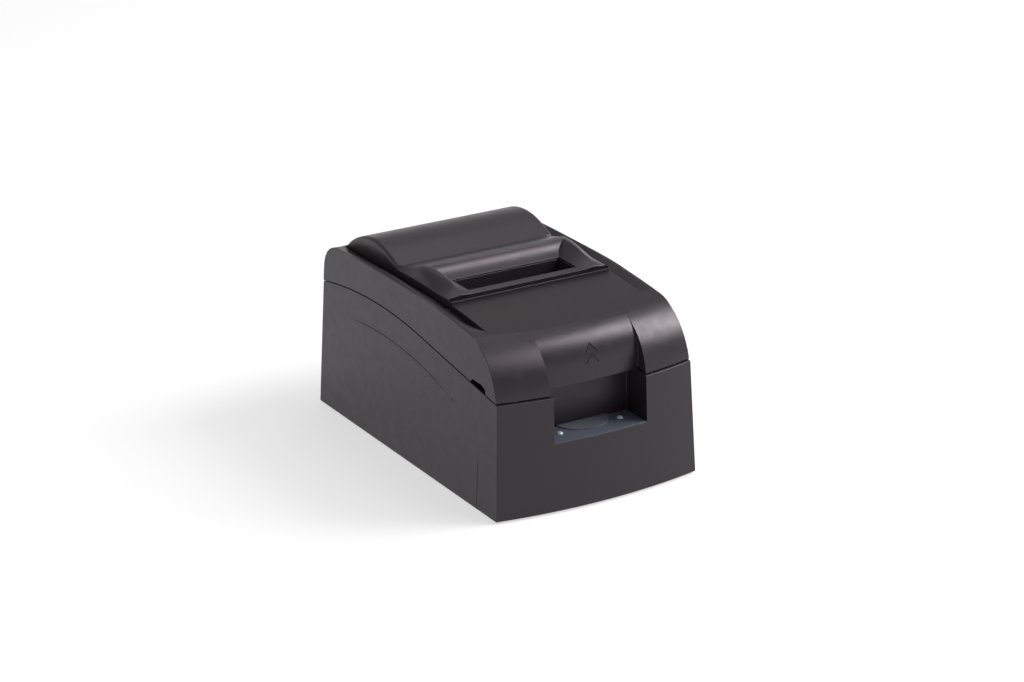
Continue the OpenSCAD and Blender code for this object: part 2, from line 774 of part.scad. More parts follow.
// A spur gear on the X axis, its first tooth turned to the angle turn.
module gear(n, y, z, bore, turn) {
    difference() {
        translate([gear_x, y, z]) rotate([90, 0, 90]) linear_extrude(gear_w) rotate(turn) gear_outline(n);
        if (bore > 0) bar_x(bore, gear_x - 1, gear_x + gear_w + 1, y, z);
    }
}

module motor_pinion() {
    color([0.85, 0.76, 0.5]) gear(pinion_teeth, pinion_y, pinion_z, 0, pinion_turn);
    color(steel) bar_x(motor_shaft_r, frame_hw - 9, gear_x + gear_w + 1, pinion_y, pinion_z);
}

module idler_gear() {
    color([0.85, 0.84, 0.78]) gear(idler_teeth, idler_y, idler_z, stud_r + run_gap, idler_turn);
}

module gear_stud() {
    color(steel) {
        bar_x(stud_r, frame_hw, gear_x + gear_w + 0.9, idler_y, idler_z);
        bar_x(stud_r + 2, frame_hw + sheet, gear_x - 0.2, idler_y, idler_z);
        bar_x(stud_r + 1.5, gear_x + gear_w + 0.3, gear_x + gear_w + 1.1, idler_y, idler_z);
    }
}

module feed_shaft() {
    color([0.8, 0.81, 0.83]) bar_x(feed_shaft_r, -frame_hw - sheet - 2, gear_x + gear_w + 1, feed_y, feed_z);
}

module feed_rubbers() {
    color([0.06, 0.06, 0.06]) for (x = [-34 : 17 : 34]) difference() {
        bar_x(feed_r, x - 5, x + 5, feed_y, feed_z);
        bar_x(feed_shaft_r, x - 6, x + 6, feed_y, feed_z);
    }
}

module feed_gear() {
    color([0.85, 0.84, 0.78]) gear(feed_teeth, feed_y, feed_z, feed_shaft_r, mesh_1);
}

module pinch_roller() {
    color([0.8, 0.81, 0.83]) bar_x(pinch_shaft_r, -frame_hw - sheet - 1, frame_hw + sheet + 0.5, pinch_y, feed_z);
    color([0.1, 0.1, 0.1]) for (x = [-34 : 17 : 34]) bar_x(pinch_r, x - 4, x + 4, pinch_y, feed_z);
}

module paper_guide() {
    r0 = feed_r + 1.2;
    t = 1.6;
    reach_y = well_y - well_r - well_wall - 0.3;
    reach_z = well_front_top - 1.2;
    turns = [for (i = [0 : 16]) 205 + i * 5];
    color(dark) along_x(-frame_hw, frame_hw) polygon(concat(
        [for (a = turns) [feed_y, feed_z] + (r0 + t) * [cos(a), sin(a)]],
        [[reach_y, reach_z - t], [reach_y, reach_z]],
        [for (i = [len(turns) - 1 : -1 : 0]) [feed_y, feed_z] + r0 * [cos(turns[i]), sin(turns[i])]]
    ));
}

// ---------- roll well ----------

module roll_well() {
    x1 = well_hw + well_wall;
    y1 = rear_y(deck_z) - wall - 1.2;
    y0 = well_y - well_r - well_wall;
    color(dark) difference() {
        union() {
            difference() {
                along_x(-x1, x1) {
                    translate([well_y, well_z]) circle(r = well_r + well_wall);
                    translate([y0, well_z]) square([2 * (well_r + well_wall), deck_z + deck_t - well_z]);
                }
                block(-case_w, case_w, y0 - 1, y_rear, deck_z + deck_t, z_far);
            }
            block(-post_at[0][0] - 5, post_at[0][0] + 5, y0, y1, deck_z, deck_z + deck_t);
        }
        along_x(-well_hw, well_hw) {
            translate([well_y, well_z]) circle(r = well_r);
            translate([well_y - well_r, well_z]) square([2 * well_r, z_far]);
        }
        block(-well_hw, well_hw, y0 - 1, well_y - well_r + 2, well_front_top, z_far);
        both_sides() for (p = post_at) post(1.7, p[0], p[1], deck_z - 1, deck_z + deck_t + 1);
        both_sides() block(hinge_x - 14, hinge_x + 14, y1 - 5, y1 + 1, deck_z - 1, deck_z + deck_t + 1);
    }
}

module well_screws() {
    color(steel) both_sides() for (p = post_at)
        translate([p[0], p[1], deck_z + deck_t]) mirror([0, 0, 1]) screw(2.8, 1.4, 12);
}

// ---------- electronics ----------

module main_board() {
    color(board_green) difference() {
        block(-board_hw, board_hw, board_y0, board_y1, board_z, board_z + board_t);
        both_sides() for (p = standoff_at) post(1.2, p[0], p[1], board_z - 1, board_z + board_t + 1);
    }
}

chips = [[-30, 40, 14, 14, 1.6], [-2, 44, 20, 9, 2.4], [24, 30, 10, 8, 1.8], [-32, 66, 8, 12, 1.8],
         [26, 58, 12, 12, 1.6], [4, 14, 24, 8, 6]];

module board_chips() {
    color([0.08, 0.08, 0.09]) for (c = chips)
        block(c[0] - c[2] / 2, c[0] + c[2] / 2, c[1] - c[3] / 2, c[1] + c[3] / 2,
              board_z + board_t, board_z + board_t + c[4]);
}

module board_capacitors() {
    color([0.12, 0.14, 0.25]) for (c = [[42, 76, 5, 14], [30, 78, 4, 11], [42, 64, 4, 11], [-44, 84, 5, 13]])
        post(c[2], c[0], c[1], board_z + board_t, board_z + board_t + c[3]);
}

module board_screws() {
    color(steel) both_sides() for (p = standoff_at)
        translate([p[0], p[1], board_z + board_t]) mirror([0, 0, 1]) screw(2.6, 1.1, 6);
}

// A socket body on the board, its face in the rear wall's opening.
module socket_body(x, w, h, d) {
    block(x - w / 2, x + w / 2, socket_face_y - d, socket_face_y, socket_z, socket_z + h);
}

module power_inlet() {
    color([0.08, 0.08, 0.08]) difference() {
        socket_body(inlet_x, 14, 13, 14);
        translate([inlet_x, socket_face_y + 1, socket_z + 6.5]) rotate([90, 0, 0]) cylinder(r = 4.8, h = 11);
    }
}

module usb_socket() {
    color([0.72, 0.73, 0.75]) difference() {
        socket_body(usb_x, 12, 11, 16);
        block(usb_x - 4.3, usb_x + 4.3, socket_face_y - 10, socket_face_y + 1, socket_z + 1.6, socket_z + 9.4);
    }
}

module drawer_socket() {
    color([0.08, 0.08, 0.08]) difference() {
        socket_body(drawer_x, 14, 12, 16);
        block(drawer_x - 5, drawer_x + 5, socket_face_y - 11, socket_face_y + 1, socket_z + 2.5, socket_z + 9.5);
    }
}

module serial_socket() {
    color([0.72, 0.73, 0.75]) {
        difference() {
            socket_body(serial_x, 53, 12.5, 12);
            block(serial_x - 19.5, serial_x + 19.5, socket_face_y - 7, socket_face_y + 1,
                  socket_z + 2.2, socket_z + 10.3);
        }
    }
}

module switch_body() {
    y1 = rear_y(switch_z) + 0.4;
    z0 = switch_z - switch_h / 2;
    color([0.06, 0.06, 0.06]) difference() {
        union() {
            block(switch_x - switch_w / 2, switch_x + switch_w / 2, y1 - 18, y1, z0, z0 + switch_h);
            difference() {
                block(switch_x - switch_w / 2 - 1.2, switch_x + switch_w / 2 + 1.2, y1 - 6, y1, z0 - 1.2,
                      z0 + switch_h + 1.2);
                case_form(-0.1, foot_h);
            }
        }
        block(switch_x - switch_w / 2 + 1.4, switch_x + switch_w / 2 - 1.4, y1 - 8, y1 + 1,
              z0 + 1.6, z0 + switch_h - 1.6);
    }
    color(steel) bar_x(1, switch_x - switch_w / 2 + 1, switch_x + switch_w / 2 - 1, rocker_y, switch_z);
}

module switch_rocker() {
    y1 = rear_y(switch_z) + 0.4;
    reach = switch_h / 2 - 2.6;
    color([0.05, 0.05, 0.05]) difference() {
        along_x(switch_x - switch_w / 2 + 1.8, switch_x + switch_w / 2 - 1.8) union() {
            translate([rocker_y, switch_z]) circle(r = 2.8);
            polygon([[rocker_y, switch_z - 2.8], [y1 - 1.2, switch_z - reach], [y1 - 0.2, switch_z - reach],
                     [y1 - 0.9, switch_z], [y1 + 1.1, switch_z + reach], [y1 + 0.1, switch_z + reach],
                     [rocker_y, switch_z + 2.8]]);
        }
        bar_x(1 + run_gap, switch_x - switch_w, switch_x + switch_w, rocker_y, switch_z);
    }
}

// ---------- covers ----------

module hinge_pins() {
    color(steel) both_sides() bar_x(pin_r, hinge_x - 7.6, hinge_x + 7.6, hinge_y, hinge_z);
}

// Side view of the printer cover's outer form.
module cover_profile(inset) {
    low_z = seam_at(y_front) - 30;
    union() {
        intersection() {
            translate([crown_y, crown_z - crown_r]) circle(r = crown_r - inset, $fn = 360);
            translate([y_front - 20, low_z]) square([tail_y - y_front + 20, 200]);
        }
        translate([tail_y, tail_z]) circle(r = tail_r - inset);
        polygon([[y_front - 20, low_z], [rear_y(low_z) - inset, low_z],
                 [tail_y + tail_r - inset, tail_z], [y_front - 20, tail_z]]);
    }
}

// Front view of the printer cover's outer form: two rails with a groove on the inside of each.
module cover_section(inset) {
    low_z = seam_at(y_front) - 30;
    edge_z = crown_z + 0.4 - rail_edge_r;
    wide = half_w(edge_z);
    difference() {
        union() {
            polygon([[-half_w(low_z) + inset, low_z], [half_w(low_z) - inset, low_z],
                     [wide - inset, edge_z], [-wide + inset, edge_z]]);
            for (s = [-1, 1]) translate([s * (wide - rail_edge_r), edge_z]) circle(r = rail_edge_r - inset);
            translate([-wide + rail_edge_r, low_z]) square([2 * (wide - rail_edge_r), z_far]);
        }
        for (s = [0, 1]) mirror([s, 0]) translate([0, -inset * 1.3])
            polygon([[lid_hw - inset, crown_z - rail_groove], [lid_hw, crown_z - rail_groove],
                     [lid_hw + rail_flank_w, crown_z + 0.6], [lid_hw + rail_flank_w, z_far + 10],
                     [lid_hw - inset, z_far + 10]]);
    }
}

// The front of the cover, rolled into the top, turned about the bowed front's axis.
module nose_form(inset) {
    translate([0, front_axis_y, 0]) rotate_extrude($fn = 180) {
        translate([0, 20]) square([front_axis_y - nose_y, z_far]);
        translate([0, 20]) square([front_axis_y - nose_y + nose_r - inset, nose_z - 20]);
        intersection() {
            translate([front_axis_y - nose_y, nose_z]) circle(r = nose_r - inset);
            translate([front_axis_y - nose_y - 1, nose_z - 1]) square([nose_r + 5, nose_r + 5]);
        }
    }
}

module cover_form(inset) {
    intersection() {
        along_x(-case_w, case_w) cover_profile(inset);
        along_y(y_front - 40, y_rear + 40) cover_section(inset);
        nose_form(inset);
    }
}

// The air in front of the scoop's back, drawn as (y, z) and moved inwards by grow.
module scoop_air(grow) {
    cy = scoop_y + scoop_r;
    r = scoop_r - grow;
    arc = [for (i = [0 : 6]) let (a = 180 - i * scoop_turn / 6) [cy + r * cos(a), scoop_z + r * sin(a)]];
    out = [cy + r * cos(180 - scoop_turn) - 40, scoop_z + r * sin(180 - scoop_turn) + 40];
    polygon(concat([[y_front - 10, 40], [scoop_y + grow, 40]], arc, [out, [y_front - 10, out[1]]]));
}

module cover_hinge_knuckles(r) {
    both_sides() bar_x(r, hinge_x - hinge_w / 2, hinge_x + hinge_w / 2, hinge_y, hinge_z);
}

module lid_ears(r, w, dx) {
    both_sides() for (s = [-1, 1]) bar_x(r, lid_hinge_x + s * dx - w / 2, lid_hinge_x + s * dx + w / 2,
                                         lid_hinge_y, lid_hinge_z);
}

module chevron(z) {
    for (s = [-1, 1]) translate([0, z]) rotate(s * 40 - 90) translate([0, -0.35]) square([mark_arm, 0.7]);
}

module printer_cover() {
    ear_w = 3;
    ear_dx = 4.7;
    color(charcoal) difference() {
        union() {
            difference() {
                cover_form(0);
                difference() {
                    cover_form(cover_wall);
                    along_x(-scoop_hw - cover_wall, scoop_hw + cover_wall) scoop_air(cover_wall);
                }
                block(-lid_hw - lid_gap, lid_hw + lid_gap, lid_front_y - lid_gap, lid_open_y, 60, z_far);
                along_x(-scoop_hw, scoop_hw) scoop_air(0);
            }
            both_sides() block(lid_hw - ledge_w, lid_hw + lid_gap + 1.2, lid_front_y - 1.5, lid_hinge_y - 8,
                               lid_bottom_z - 0.2 - ledge_t, lid_bottom_z - 0.2);
            block(-lid_hw, lid_hw, lid_front_y - 2.4, lid_front_y + 3.4, lid_bottom_z - 0.2 - ledge_t,
                  lid_bottom_z - 0.2);
            block(-lid_hw, lid_hw, lid_front_y - 2.4, lid_front_y - lid_gap, lid_bottom_z - 0.3,
                  crown_at(lid_front_y) - 1);
            cover_hinge_knuckles(hinge_r);
            lid_ears(lid_hinge_r, ear_w, ear_dx);
            both_sides() for (s = [-1, 1])
                block(lid_hinge_x + s * ear_dx - ear_w / 2, lid_hinge_x + s * ear_dx + ear_w / 2,
                      lid_hinge_y, lid_open_y + 1.2, lid_hinge_z - 1.6, lid_hinge_z + 0.4);
        }
        along_x(-scoop_hw, scoop_hw) intersection() {
            scoop_air(0);
            translate([y_front - 10, 40]) square([scoop_y - y_front + 10 - eps, 60]);
        }
        difference() {
            along_x(-case_w, case_w) under_seam(seam_gap);
            along_x(-scoop_hw + 2, scoop_hw - 2)
                translate([scoop_y - 1, lip_z]) square([cover_wall + 2, 40]);
            cover_hinge_knuckles(hinge_r + eps);
        }
        both_sides() along_x(half_w(seam_z) - 8, case_w)
            translate([grip_y, seam_at(grip_y)])
                polygon([for (p = side_grip) [p[0] - 35, p[1] + seam_slope * (p[0] - 35)]]);
        both_sides() for (s = [-1, 1]) {
            x = hinge_x + s * (hinge_w / 2 + 0.3 + hinge_ear_w / 2);
            bar_x(hinge_r + knuckle_gap, x - hinge_ear_w / 2 - 0.3, x + hinge_ear_w / 2 + 0.3, hinge_y, hinge_z);
        }
        both_sides() bar_x(pin_r + run_gap, hinge_x - 9, hinge_x + 9, hinge_y, hinge_z);
        both_sides() bar_x(lid_hinge_r + knuckle_gap, lid_hinge_x - ear_dx + ear_w / 2,
                           lid_hinge_x + ear_dx - ear_w / 2, lid_hinge_y, lid_hinge_z);
        both_sides() bar_x(lid_pin_r, lid_hinge_x - 8, lid_hinge_x + 8, lid_hinge_y, lid_hinge_z);
        intersection() {
            along_y(y_front - 5, scoop_y + mark_arm + 4) for (z = [mark_z, mark_z - 6.4]) chevron(z);
            along_x(-mark_arm, mark_arm) scoop_air(mark_deep);
        }
    }
}

module lid_pins() {
    color(steel) both_sides() bar_x(lid_pin_r, lid_hinge_x - 6.2, lid_hinge_x + 6.2, lid_hinge_y, lid_hinge_z);
}

// The hump: a drum about the X axis with rounded ends, moved inwards by inset.
module hump_drum(inset) {
    w = lid_hw - inset;
    r = hump_r - inset;
    edge = max(hump_edge_r - inset, 0.5);
    translate([0, hump_y, hump_z - hump_r]) rotate([0, 90, 0]) rotate_extrude($fn = 128) {
        translate([0, -w]) square([r - edge, 2 * w]);
        translate([0, -w + edge]) square([r, 2 * (w - edge)]);
        for (s = [-1, 1]) translate([r - edge, s * (w - edge)]) circle(r = edge);
    }
}

// Side view of the collar and of the slope between its ridge and the hump.
module collar_profile(inset) {
    z0 = lid_bottom_z - 1;
    intersection() {
        translate([ridge_y - 6, collar_z - ridge_r]) circle(r = ridge_r - inset, $fn = 360);
        translate([lid_front_y + tear_d, z0]) square([ridge_y - lid_front_y - tear_d, 40]);
    }
    polygon([[ridge_y - eps, z0], [ridge_y - eps, collar_z - 0.15 - inset], [crease_y, crease_z - inset],
             [hump_y - hump_knee + 1, hump_knee_z - inset + 0.4], [hump_y - hump_knee + 1, z0]]);
}

// Front view of the collar: a ridge on each side that falls to the cover's edge.
module collar_section(inset) {
    polygon([[-lid_hw + inset, lid_bottom_z - 1], [lid_hw - inset, lid_bottom_z - 1],
             [lid_hw - inset, slot_z - 0.6 - inset], [collar_hw, collar_z + 0.1 - inset],
             [-collar_hw, collar_z + 0.1 - inset], [-lid_hw + inset, slot_z - 0.6 - inset]]);
}

// The funnel inside the collar, grown by grow.
module slot_funnel(grow) {
    z0 = slot_z - grow;
    z1 = collar_z + 4;
    hull() {
        block(-slot_hw - grow, slot_hw + grow, lid_front_y - 5, slot_y1 + grow, z0, z0 + eps);
        block(-collar_hw - grow - 2.5, collar_hw + grow + 2.5, lid_front_y - 5, ridge_y - 2 + grow, z1, z1 + eps);
        block(-collar_hw - grow, collar_hw + grow, lid_front_y - 5, ridge_y - 5.5 + grow, collar_z - grow,
              collar_z - grow + eps);
    }
}

module lid_outer() {
    intersection() {
        union() {
            intersection() {
                hump_drum(0);
                block(-case_w, case_w, hump_y - hump_knee, lid_rear_y, lid_bottom_z, z_far);
            }
            intersection() {
                along_x(-lid_hw, lid_hw) collar_profile(0);
                along_y(y_front, y_rear) collar_section(0);
            }
            intersection() {
                along_x(-lid_hw, lid_hw) collar_profile(0);
                block(-lid_hw, lid_hw, crease_y, hump_y, lid_bottom_z, z_far);
            }
            block(-lid_hw, lid_hw, lid_front_y, lid_front_y + tear_d + 1, lid_bottom_z, tear_seat_z);
            intersection() {
                along_x(-lid_hw, lid_hw) cover_profile(0.15);
                block(-lid_hw, lid_hw, hump_y, lid_rear_y, lid_hinge_z - 0.5, z_far);
            }
        }
        block(-lid_hw, lid_hw, lid_front_y, lid_rear_y, lid_hinge_z - 0.5, z_far);
    }
}

module roll_cover() {
    lug_w = 5.6;
    color(charcoal) difference() {
        union() {
            difference() {
                lid_outer();
                difference() {
                    union() {
                        intersection() {
                            hump_drum(lid_skin);
                            block(-case_w, case_w, hump_y - hump_knee, lid_hinge_y - 4, 60, z_far);
                        }
                        intersection() {
                            along_x(-case_w, case_w) collar_profile(lid_skin);
                            along_y(lid_front_y + tear_d + lid_skin, y_rear) collar_section(lid_skin);
                        }
                        block(-lid_hw + lid_skin, lid_hw - lid_skin, lid_front_y + lid_skin, hump_y,
                              60, tear_seat_z - lid_skin);
                        block(-lid_hw + lid_skin, lid_hw - lid_skin, hump_y - 1, lid_hinge_y - 4,
                              60, lid_bottom_z + 1);
                    }
                    slot_funnel(lid_skin);
                }
                slot_funnel(0);
                block(-slot_hw, slot_hw, slot_y0, slot_y1, 60, z_far);
                block(-lid_hw - 1, lid_hw + 1, lid_front_y - 1, lid_hinge_y - 6, 60, lid_bottom_z);
            }
            both_sides() {
                bar_x(lid_hinge_r, lid_hinge_x - lug_w / 2, lid_hinge_x + lug_w / 2, lid_hinge_y, lid_hinge_z);
                block(lid_hinge_x - lug_w / 2, lid_hinge_x + lug_w / 2, lid_hinge_y - 5, lid_hinge_y,
                      lid_hinge_z - 1, lid_hinge_z + 2);
            }
        }
        lid_ears(lid_hinge_r + knuckle_gap, 3.7, 4.7);
        both_sides() bar_x(lid_pin_r + run_gap, lid_hinge_x - 8, lid_hinge_x + 8, lid_hinge_y, lid_hinge_z);
    }
}

module tear_bar() {
    hw = lid_hw - 0.8;
    pitch = 1.6;
    y0 = lid_front_y + 0.3;
    y1 = lid_front_y + tear_d - 0.5;
    teeth = floor(2 * hw / pitch) - 1;
    color(steel) translate([0, 0, tear_seat_z]) linear_extrude(1.4)
        polygon(concat([[hw, y1], [hw, y0], [-hw, y0], [-hw, y1]],
                       [for (i = [0 : teeth]) for (k = [0, 1])
                           [-teeth * pitch / 2 - pitch / 2 + (i + 0.5 * k) * pitch + pitch / 4, y1 + 0.45 * k]]));
}

lower_case();
base_plate();
rubber_feet();
base_screws();
control_panel();
led_lenses();
panel_board();
feed_key();
mech_frame();
frame_screws();
platen();
guide_shafts();
carriage();
print_head();
ribbon_cassette();
ribbon_band();
ribbon_knob();
carriage_motor();
drive_pulley();
idler_pulley();
idler_stud();
drive_belt();
feed_motor();
motor_pinion();
idler_gear();
gear_stud();
feed_shaft();
feed_rubbers();
feed_gear();
pinch_roller();
paper_guide();
roll_well();
well_screws();
main_board();
board_chips();
board_capacitors();
board_screws();
power_inlet();
usb_socket();
drawer_socket();
serial_socket();
switch_body();
switch_rocker();
hinge_pins();
printer_cover();
lid_pins();
roll_cover();
tear_bar();
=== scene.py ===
# A dot matrix receipt printer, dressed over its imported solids.
# Blender works in metres; the sizes below are in millimetres and go through MM.
import json
import math
import bpy
import bmesh
from mathutils import Matrix, Vector


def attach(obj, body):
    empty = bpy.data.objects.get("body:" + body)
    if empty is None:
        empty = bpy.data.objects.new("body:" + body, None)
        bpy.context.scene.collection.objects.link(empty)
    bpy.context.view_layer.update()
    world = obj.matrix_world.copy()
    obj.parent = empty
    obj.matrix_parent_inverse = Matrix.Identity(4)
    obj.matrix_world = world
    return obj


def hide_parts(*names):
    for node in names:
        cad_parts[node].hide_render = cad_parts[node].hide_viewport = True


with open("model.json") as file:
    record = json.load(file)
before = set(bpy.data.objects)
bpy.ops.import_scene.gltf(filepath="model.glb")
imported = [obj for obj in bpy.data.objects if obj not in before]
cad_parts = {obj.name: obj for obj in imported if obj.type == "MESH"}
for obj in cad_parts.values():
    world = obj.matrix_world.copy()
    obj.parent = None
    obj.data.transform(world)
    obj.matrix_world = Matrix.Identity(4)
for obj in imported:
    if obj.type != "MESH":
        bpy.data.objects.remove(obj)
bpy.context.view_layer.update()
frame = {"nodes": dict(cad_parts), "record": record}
MM = 0.001

# ---------- materials ----------


def node_tree(name):
    """A new material with its shader and a place in the piece's own metres."""
    mat = bpy.data.materials.new(name)
    mat.use_nodes = True
    tree = mat.node_tree
    shader = tree.nodes["Principled BSDF"]
    place = tree.nodes.new("ShaderNodeTexCoord")
    return mat, tree, shader, place


def noise(tree, place, scale, detail=2.0, stretch=(1, 1, 1), rough=0.5):
    """A noise field with scale in cells per metre."""
    mapping = tree.nodes.new("ShaderNodeMapping")
    mapping.inputs["Scale"].default_value = stretch
    tree.links.new(place.outputs["Object"], mapping.inputs["Vector"])
    field = tree.nodes.new("ShaderNodeTexNoise")
    field.inputs["Scale"].default_value = scale
    field.inputs["Detail"].default_value = detail
    field.inputs["Roughness"].default_value = rough
    tree.links.new(mapping.outputs["Vector"], field.inputs["Vector"])
    return field


def ranged(tree, source, low, high, from_low=0.3, from_high=0.7):
    """The field's middle spread from low to high."""
    node = tree.nodes.new("ShaderNodeMapRange")
    node.inputs["From Min"].default_value = from_low
    node.inputs["From Max"].default_value = from_high
    node.inputs["To Min"].default_value = low
    node.inputs["To Max"].default_value = high
    tree.links.new(source, node.inputs["Value"])
    return node.outputs["Result"]


# The Mix node's sockets, by place, since its colour and float sockets share their names.
MIX_FACTOR, MIX_A, MIX_B, MIX_COLOUR = 0, 6, 7, 2


def blended(tree, factor, first, second):
    """A colour between two by a factor."""
    node = tree.nodes.new("ShaderNodeMix")
    node.data_type = "RGBA"
    tree.links.new(factor, node.inputs[MIX_FACTOR])
    node.inputs[MIX_A].default_value = (*first, 1)
    node.inputs[MIX_B].default_value = (*second, 1)
    return node.outputs[MIX_COLOUR]


def scaled(colour, by):
    """A colour made lighter or darker."""
    return tuple(min(1.0, c * by) for c in colour)


def bumped(tree, shader, layers):
    """Chains bump nodes: each layer is (field, depth in metres, strength)."""
    last = None
    for field, depth, strength in layers:
        bump = tree.nodes.new("ShaderNodeBump")
        bump.inputs["Distance"].default_value = depth
        bump.inputs["Strength"].default_value = strength
        tree.links.new(field, bump.inputs["Height"])
        if last:
            tree.links.new(last, bump.inputs["Normal"])
        last = bump.outputs["Normal"]
    tree.links.new(last, shader.inputs["Normal"])


# How far the flow haze moves a moulded piece's roughness either way.
HAZE = 0.04


def moulded(name, colour, rough, grain=1400, depth=0.00004, vary=0.05, specular=0.5, tint=(1, 1, 1)):
    """Injection-moulded plastic: a fine spark-eroded grain over a faint flow haze."""
    mat, tree, shader, place = node_tree(name)
    fine = noise(tree, place, grain, 3.0, rough=0.6)
    soft = noise(tree, place, 26, 3.0)
    cloud = noise(tree, place, 120, 2.0)
    tone = blended(tree, ranged(tree, soft.outputs["Fac"], 0, 1),
                   scaled(colour, 1 - vary), scaled(colour, 1 + vary))
    speck = tree.nodes.new("ShaderNodeMix")
    speck.data_type = "RGBA"
    speck.blend_type = "MULTIPLY"
    speck.inputs[MIX_FACTOR].default_value = 1.0
    tree.links.new(tone, speck.inputs[MIX_A])
    tree.links.new(blended(tree, ranged(tree, fine.outputs["Fac"], 0, 1), (0.9, 0.9, 0.9), (1, 1, 1)),
                   speck.inputs[MIX_B])
    tree.links.new(speck.outputs[MIX_COLOUR], shader.inputs["Base Color"])
    tree.links.new(ranged(tree, cloud.outputs["Fac"], rough - HAZE, rough + HAZE), shader.inputs["Roughness"])
    shader.inputs["Specular IOR Level"].default_value = specular
    shader.inputs["Specular Tint"].default_value = (*tint, 1)
    bumped(tree, shader, [(cloud.outputs["Fac"], 0.00002, 0.05), (fine.outputs["Fac"], depth, 0.4)])
    return mat


def metal(name, colour, rough, stretch, scale=900, depth=0.00001, blotch=0.06, glance=1.0):
    """Worked metal: fine marks drawn along one way, faint blotches of plating, and its shine at a glance."""
    mat, tree, shader, place = node_tree(name)
    marks = noise(tree, place, scale, 3.0, stretch=stretch)
    patch = noise(tree, place, 180, 3.0)
    tree.links.new(blended(tree, ranged(tree, patch.outputs["Fac"], 0, 1),
                           scaled(colour, 1 - blotch), scaled(colour, 1 + blotch)),
                   shader.inputs["Base Color"])
    shader.inputs["Metallic"].default_value = 1.0
    shader.inputs["Specular Tint"].default_value = (glance, glance, glance, 1)
    tree.links.new(ranged(tree, marks.outputs["Fac"], rough - 0.06, rough + 0.08), shader.inputs["Roughness"])
    bumped(tree, shader, [(marks.outputs["Fac"], depth, 0.35)])
    return mat


def zinc(name, colour, rough):
    """Galvanised sheet with its spangle of flat crystals."""
    mat, tree, shader, place = node_tree(name)
    cells = tree.nodes.new("ShaderNodeTexVoronoi")
    cells.inputs["Scale"].default_value = 260
    tree.links.new(place.outputs["Object"], cells.inputs["Vector"])
    split = tree.nodes.new("ShaderNodeSeparateColor")
    tree.links.new(cells.outputs["Color"], split.inputs["Color"])
    fine = noise(tree, place, 2200, 2.0)
    tree.links.new(blended(tree, split.outputs[0], scaled(colour, 0.86), scaled(colour, 1.1)),
                   shader.inputs["Base Color"])
    shader.inputs["Metallic"].default_value = 0.9
    tree.links.new(ranged(tree, split.outputs[1], rough - 0.07, rough + 0.1, 0, 1), shader.inputs["Roughness"])
    bumped(tree, shader, [(fine.outputs["Fac"], 0.00001, 0.3)])
    return mat


def board(name, colour):
    """Solder resist over a hatch of copper tracks."""
    mat, tree, shader, place = node_tree(name)
    tracks = tree.nodes.new("ShaderNodeTexBrick")
    tracks.inputs["Scale"].default_value = 190
    tracks.inputs["Mortar Size"].default_value = 0.035
    tracks.inputs["Color1"].default_value = (*scaled(colour, 0.85), 1)
    tracks.inputs["Color2"].default_value = (*scaled(colour, 1.1), 1)
    tracks.inputs["Mortar"].default_value = (*scaled(colour, 1.9), 1)
    tree.links.new(place.outputs["Object"], tracks.inputs["Vector"])
    soft = noise(tree, place, 240, 2.0)
    tree.links.new(tracks.outputs["Color"], shader.inputs["Base Color"])
    tree.links.new(ranged(tree, soft.outputs["Fac"], 0.28, 0.4), shader.inputs["Roughness"])
    bumped(tree, shader, [(tracks.outputs["Fac"], 0.00003, 0.5)])
    return mat


def ribbon(name, colour):
    """Inked nylon: a close plain weave."""
    mat, tree, shader, place = node_tree(name)
    weave = []
    for axis in ("X", "Z"):
        wave = tree.nodes.new("ShaderNodeTexWave")
        wave.bands_direction = axis
        wave.inputs["Scale"].default_value = 900
        tree.links.new(place.outputs["Object"], wave.inputs["Vector"])
        weave.append(wave)
    soft = noise(tree, place, 300, 2.0)
    tree.links.new(blended(tree, ranged(tree, soft.outputs["Fac"], 0, 1), scaled(colour, 0.8),
                           scaled(colour, 1.3)), shader.inputs["Base Color"])
    shader.inputs["Roughness"].default_value = 0.75
    shader.inputs["Sheen Weight"].default_value = 0.15
    bumped(tree, shader, [(weave[0].outputs["Fac"], 0.00004, 0.6), (weave[1].outputs["Fac"], 0.00004, 0.6)])
    return mat


def film(name, colour, rough):
    """Printed polyester film: very fine velvet texture under a satin face."""
    mat, tree, shader, place = node_tree(name)
    fine = noise(tree, place, 3200, 2.0)
    soft = noise(tree, place, 60, 2.0)
    tree.links.new(blended(tree, ranged(tree, soft.outputs["Fac"], 0, 1), scaled(colour, 0.96),
                           scaled(colour, 1.05)), shader.inputs["Base Color"])
    tree.links.new(ranged(tree, soft.outputs["Fac"], rough - 0.03, rough + 0.04), shader.inputs["Roughness"])
    bumped(tree, shader, [(fine.outputs["Fac"], 0.000015, 0.4)])
    return mat


def lens(name, colour):
    """A clear moulded lens with a smoky body."""
    mat, tree, shader, place = node_tree(name)
    soft = noise(tree, place, 500, 2.0)
    tree.links.new(blended(tree, ranged(tree, soft.outputs["Fac"], 0, 1), scaled(colour, 0.9),
                           scaled(colour, 1.1)), shader.inputs["Base Color"])
    shader.inputs["Roughness"].default_value = 0.12
    shader.inputs["Coat Weight"].default_value = 0.6
    bumped(tree, shader, [(soft.outputs["Fac"], 0.00002, 0.2)])
    return mat


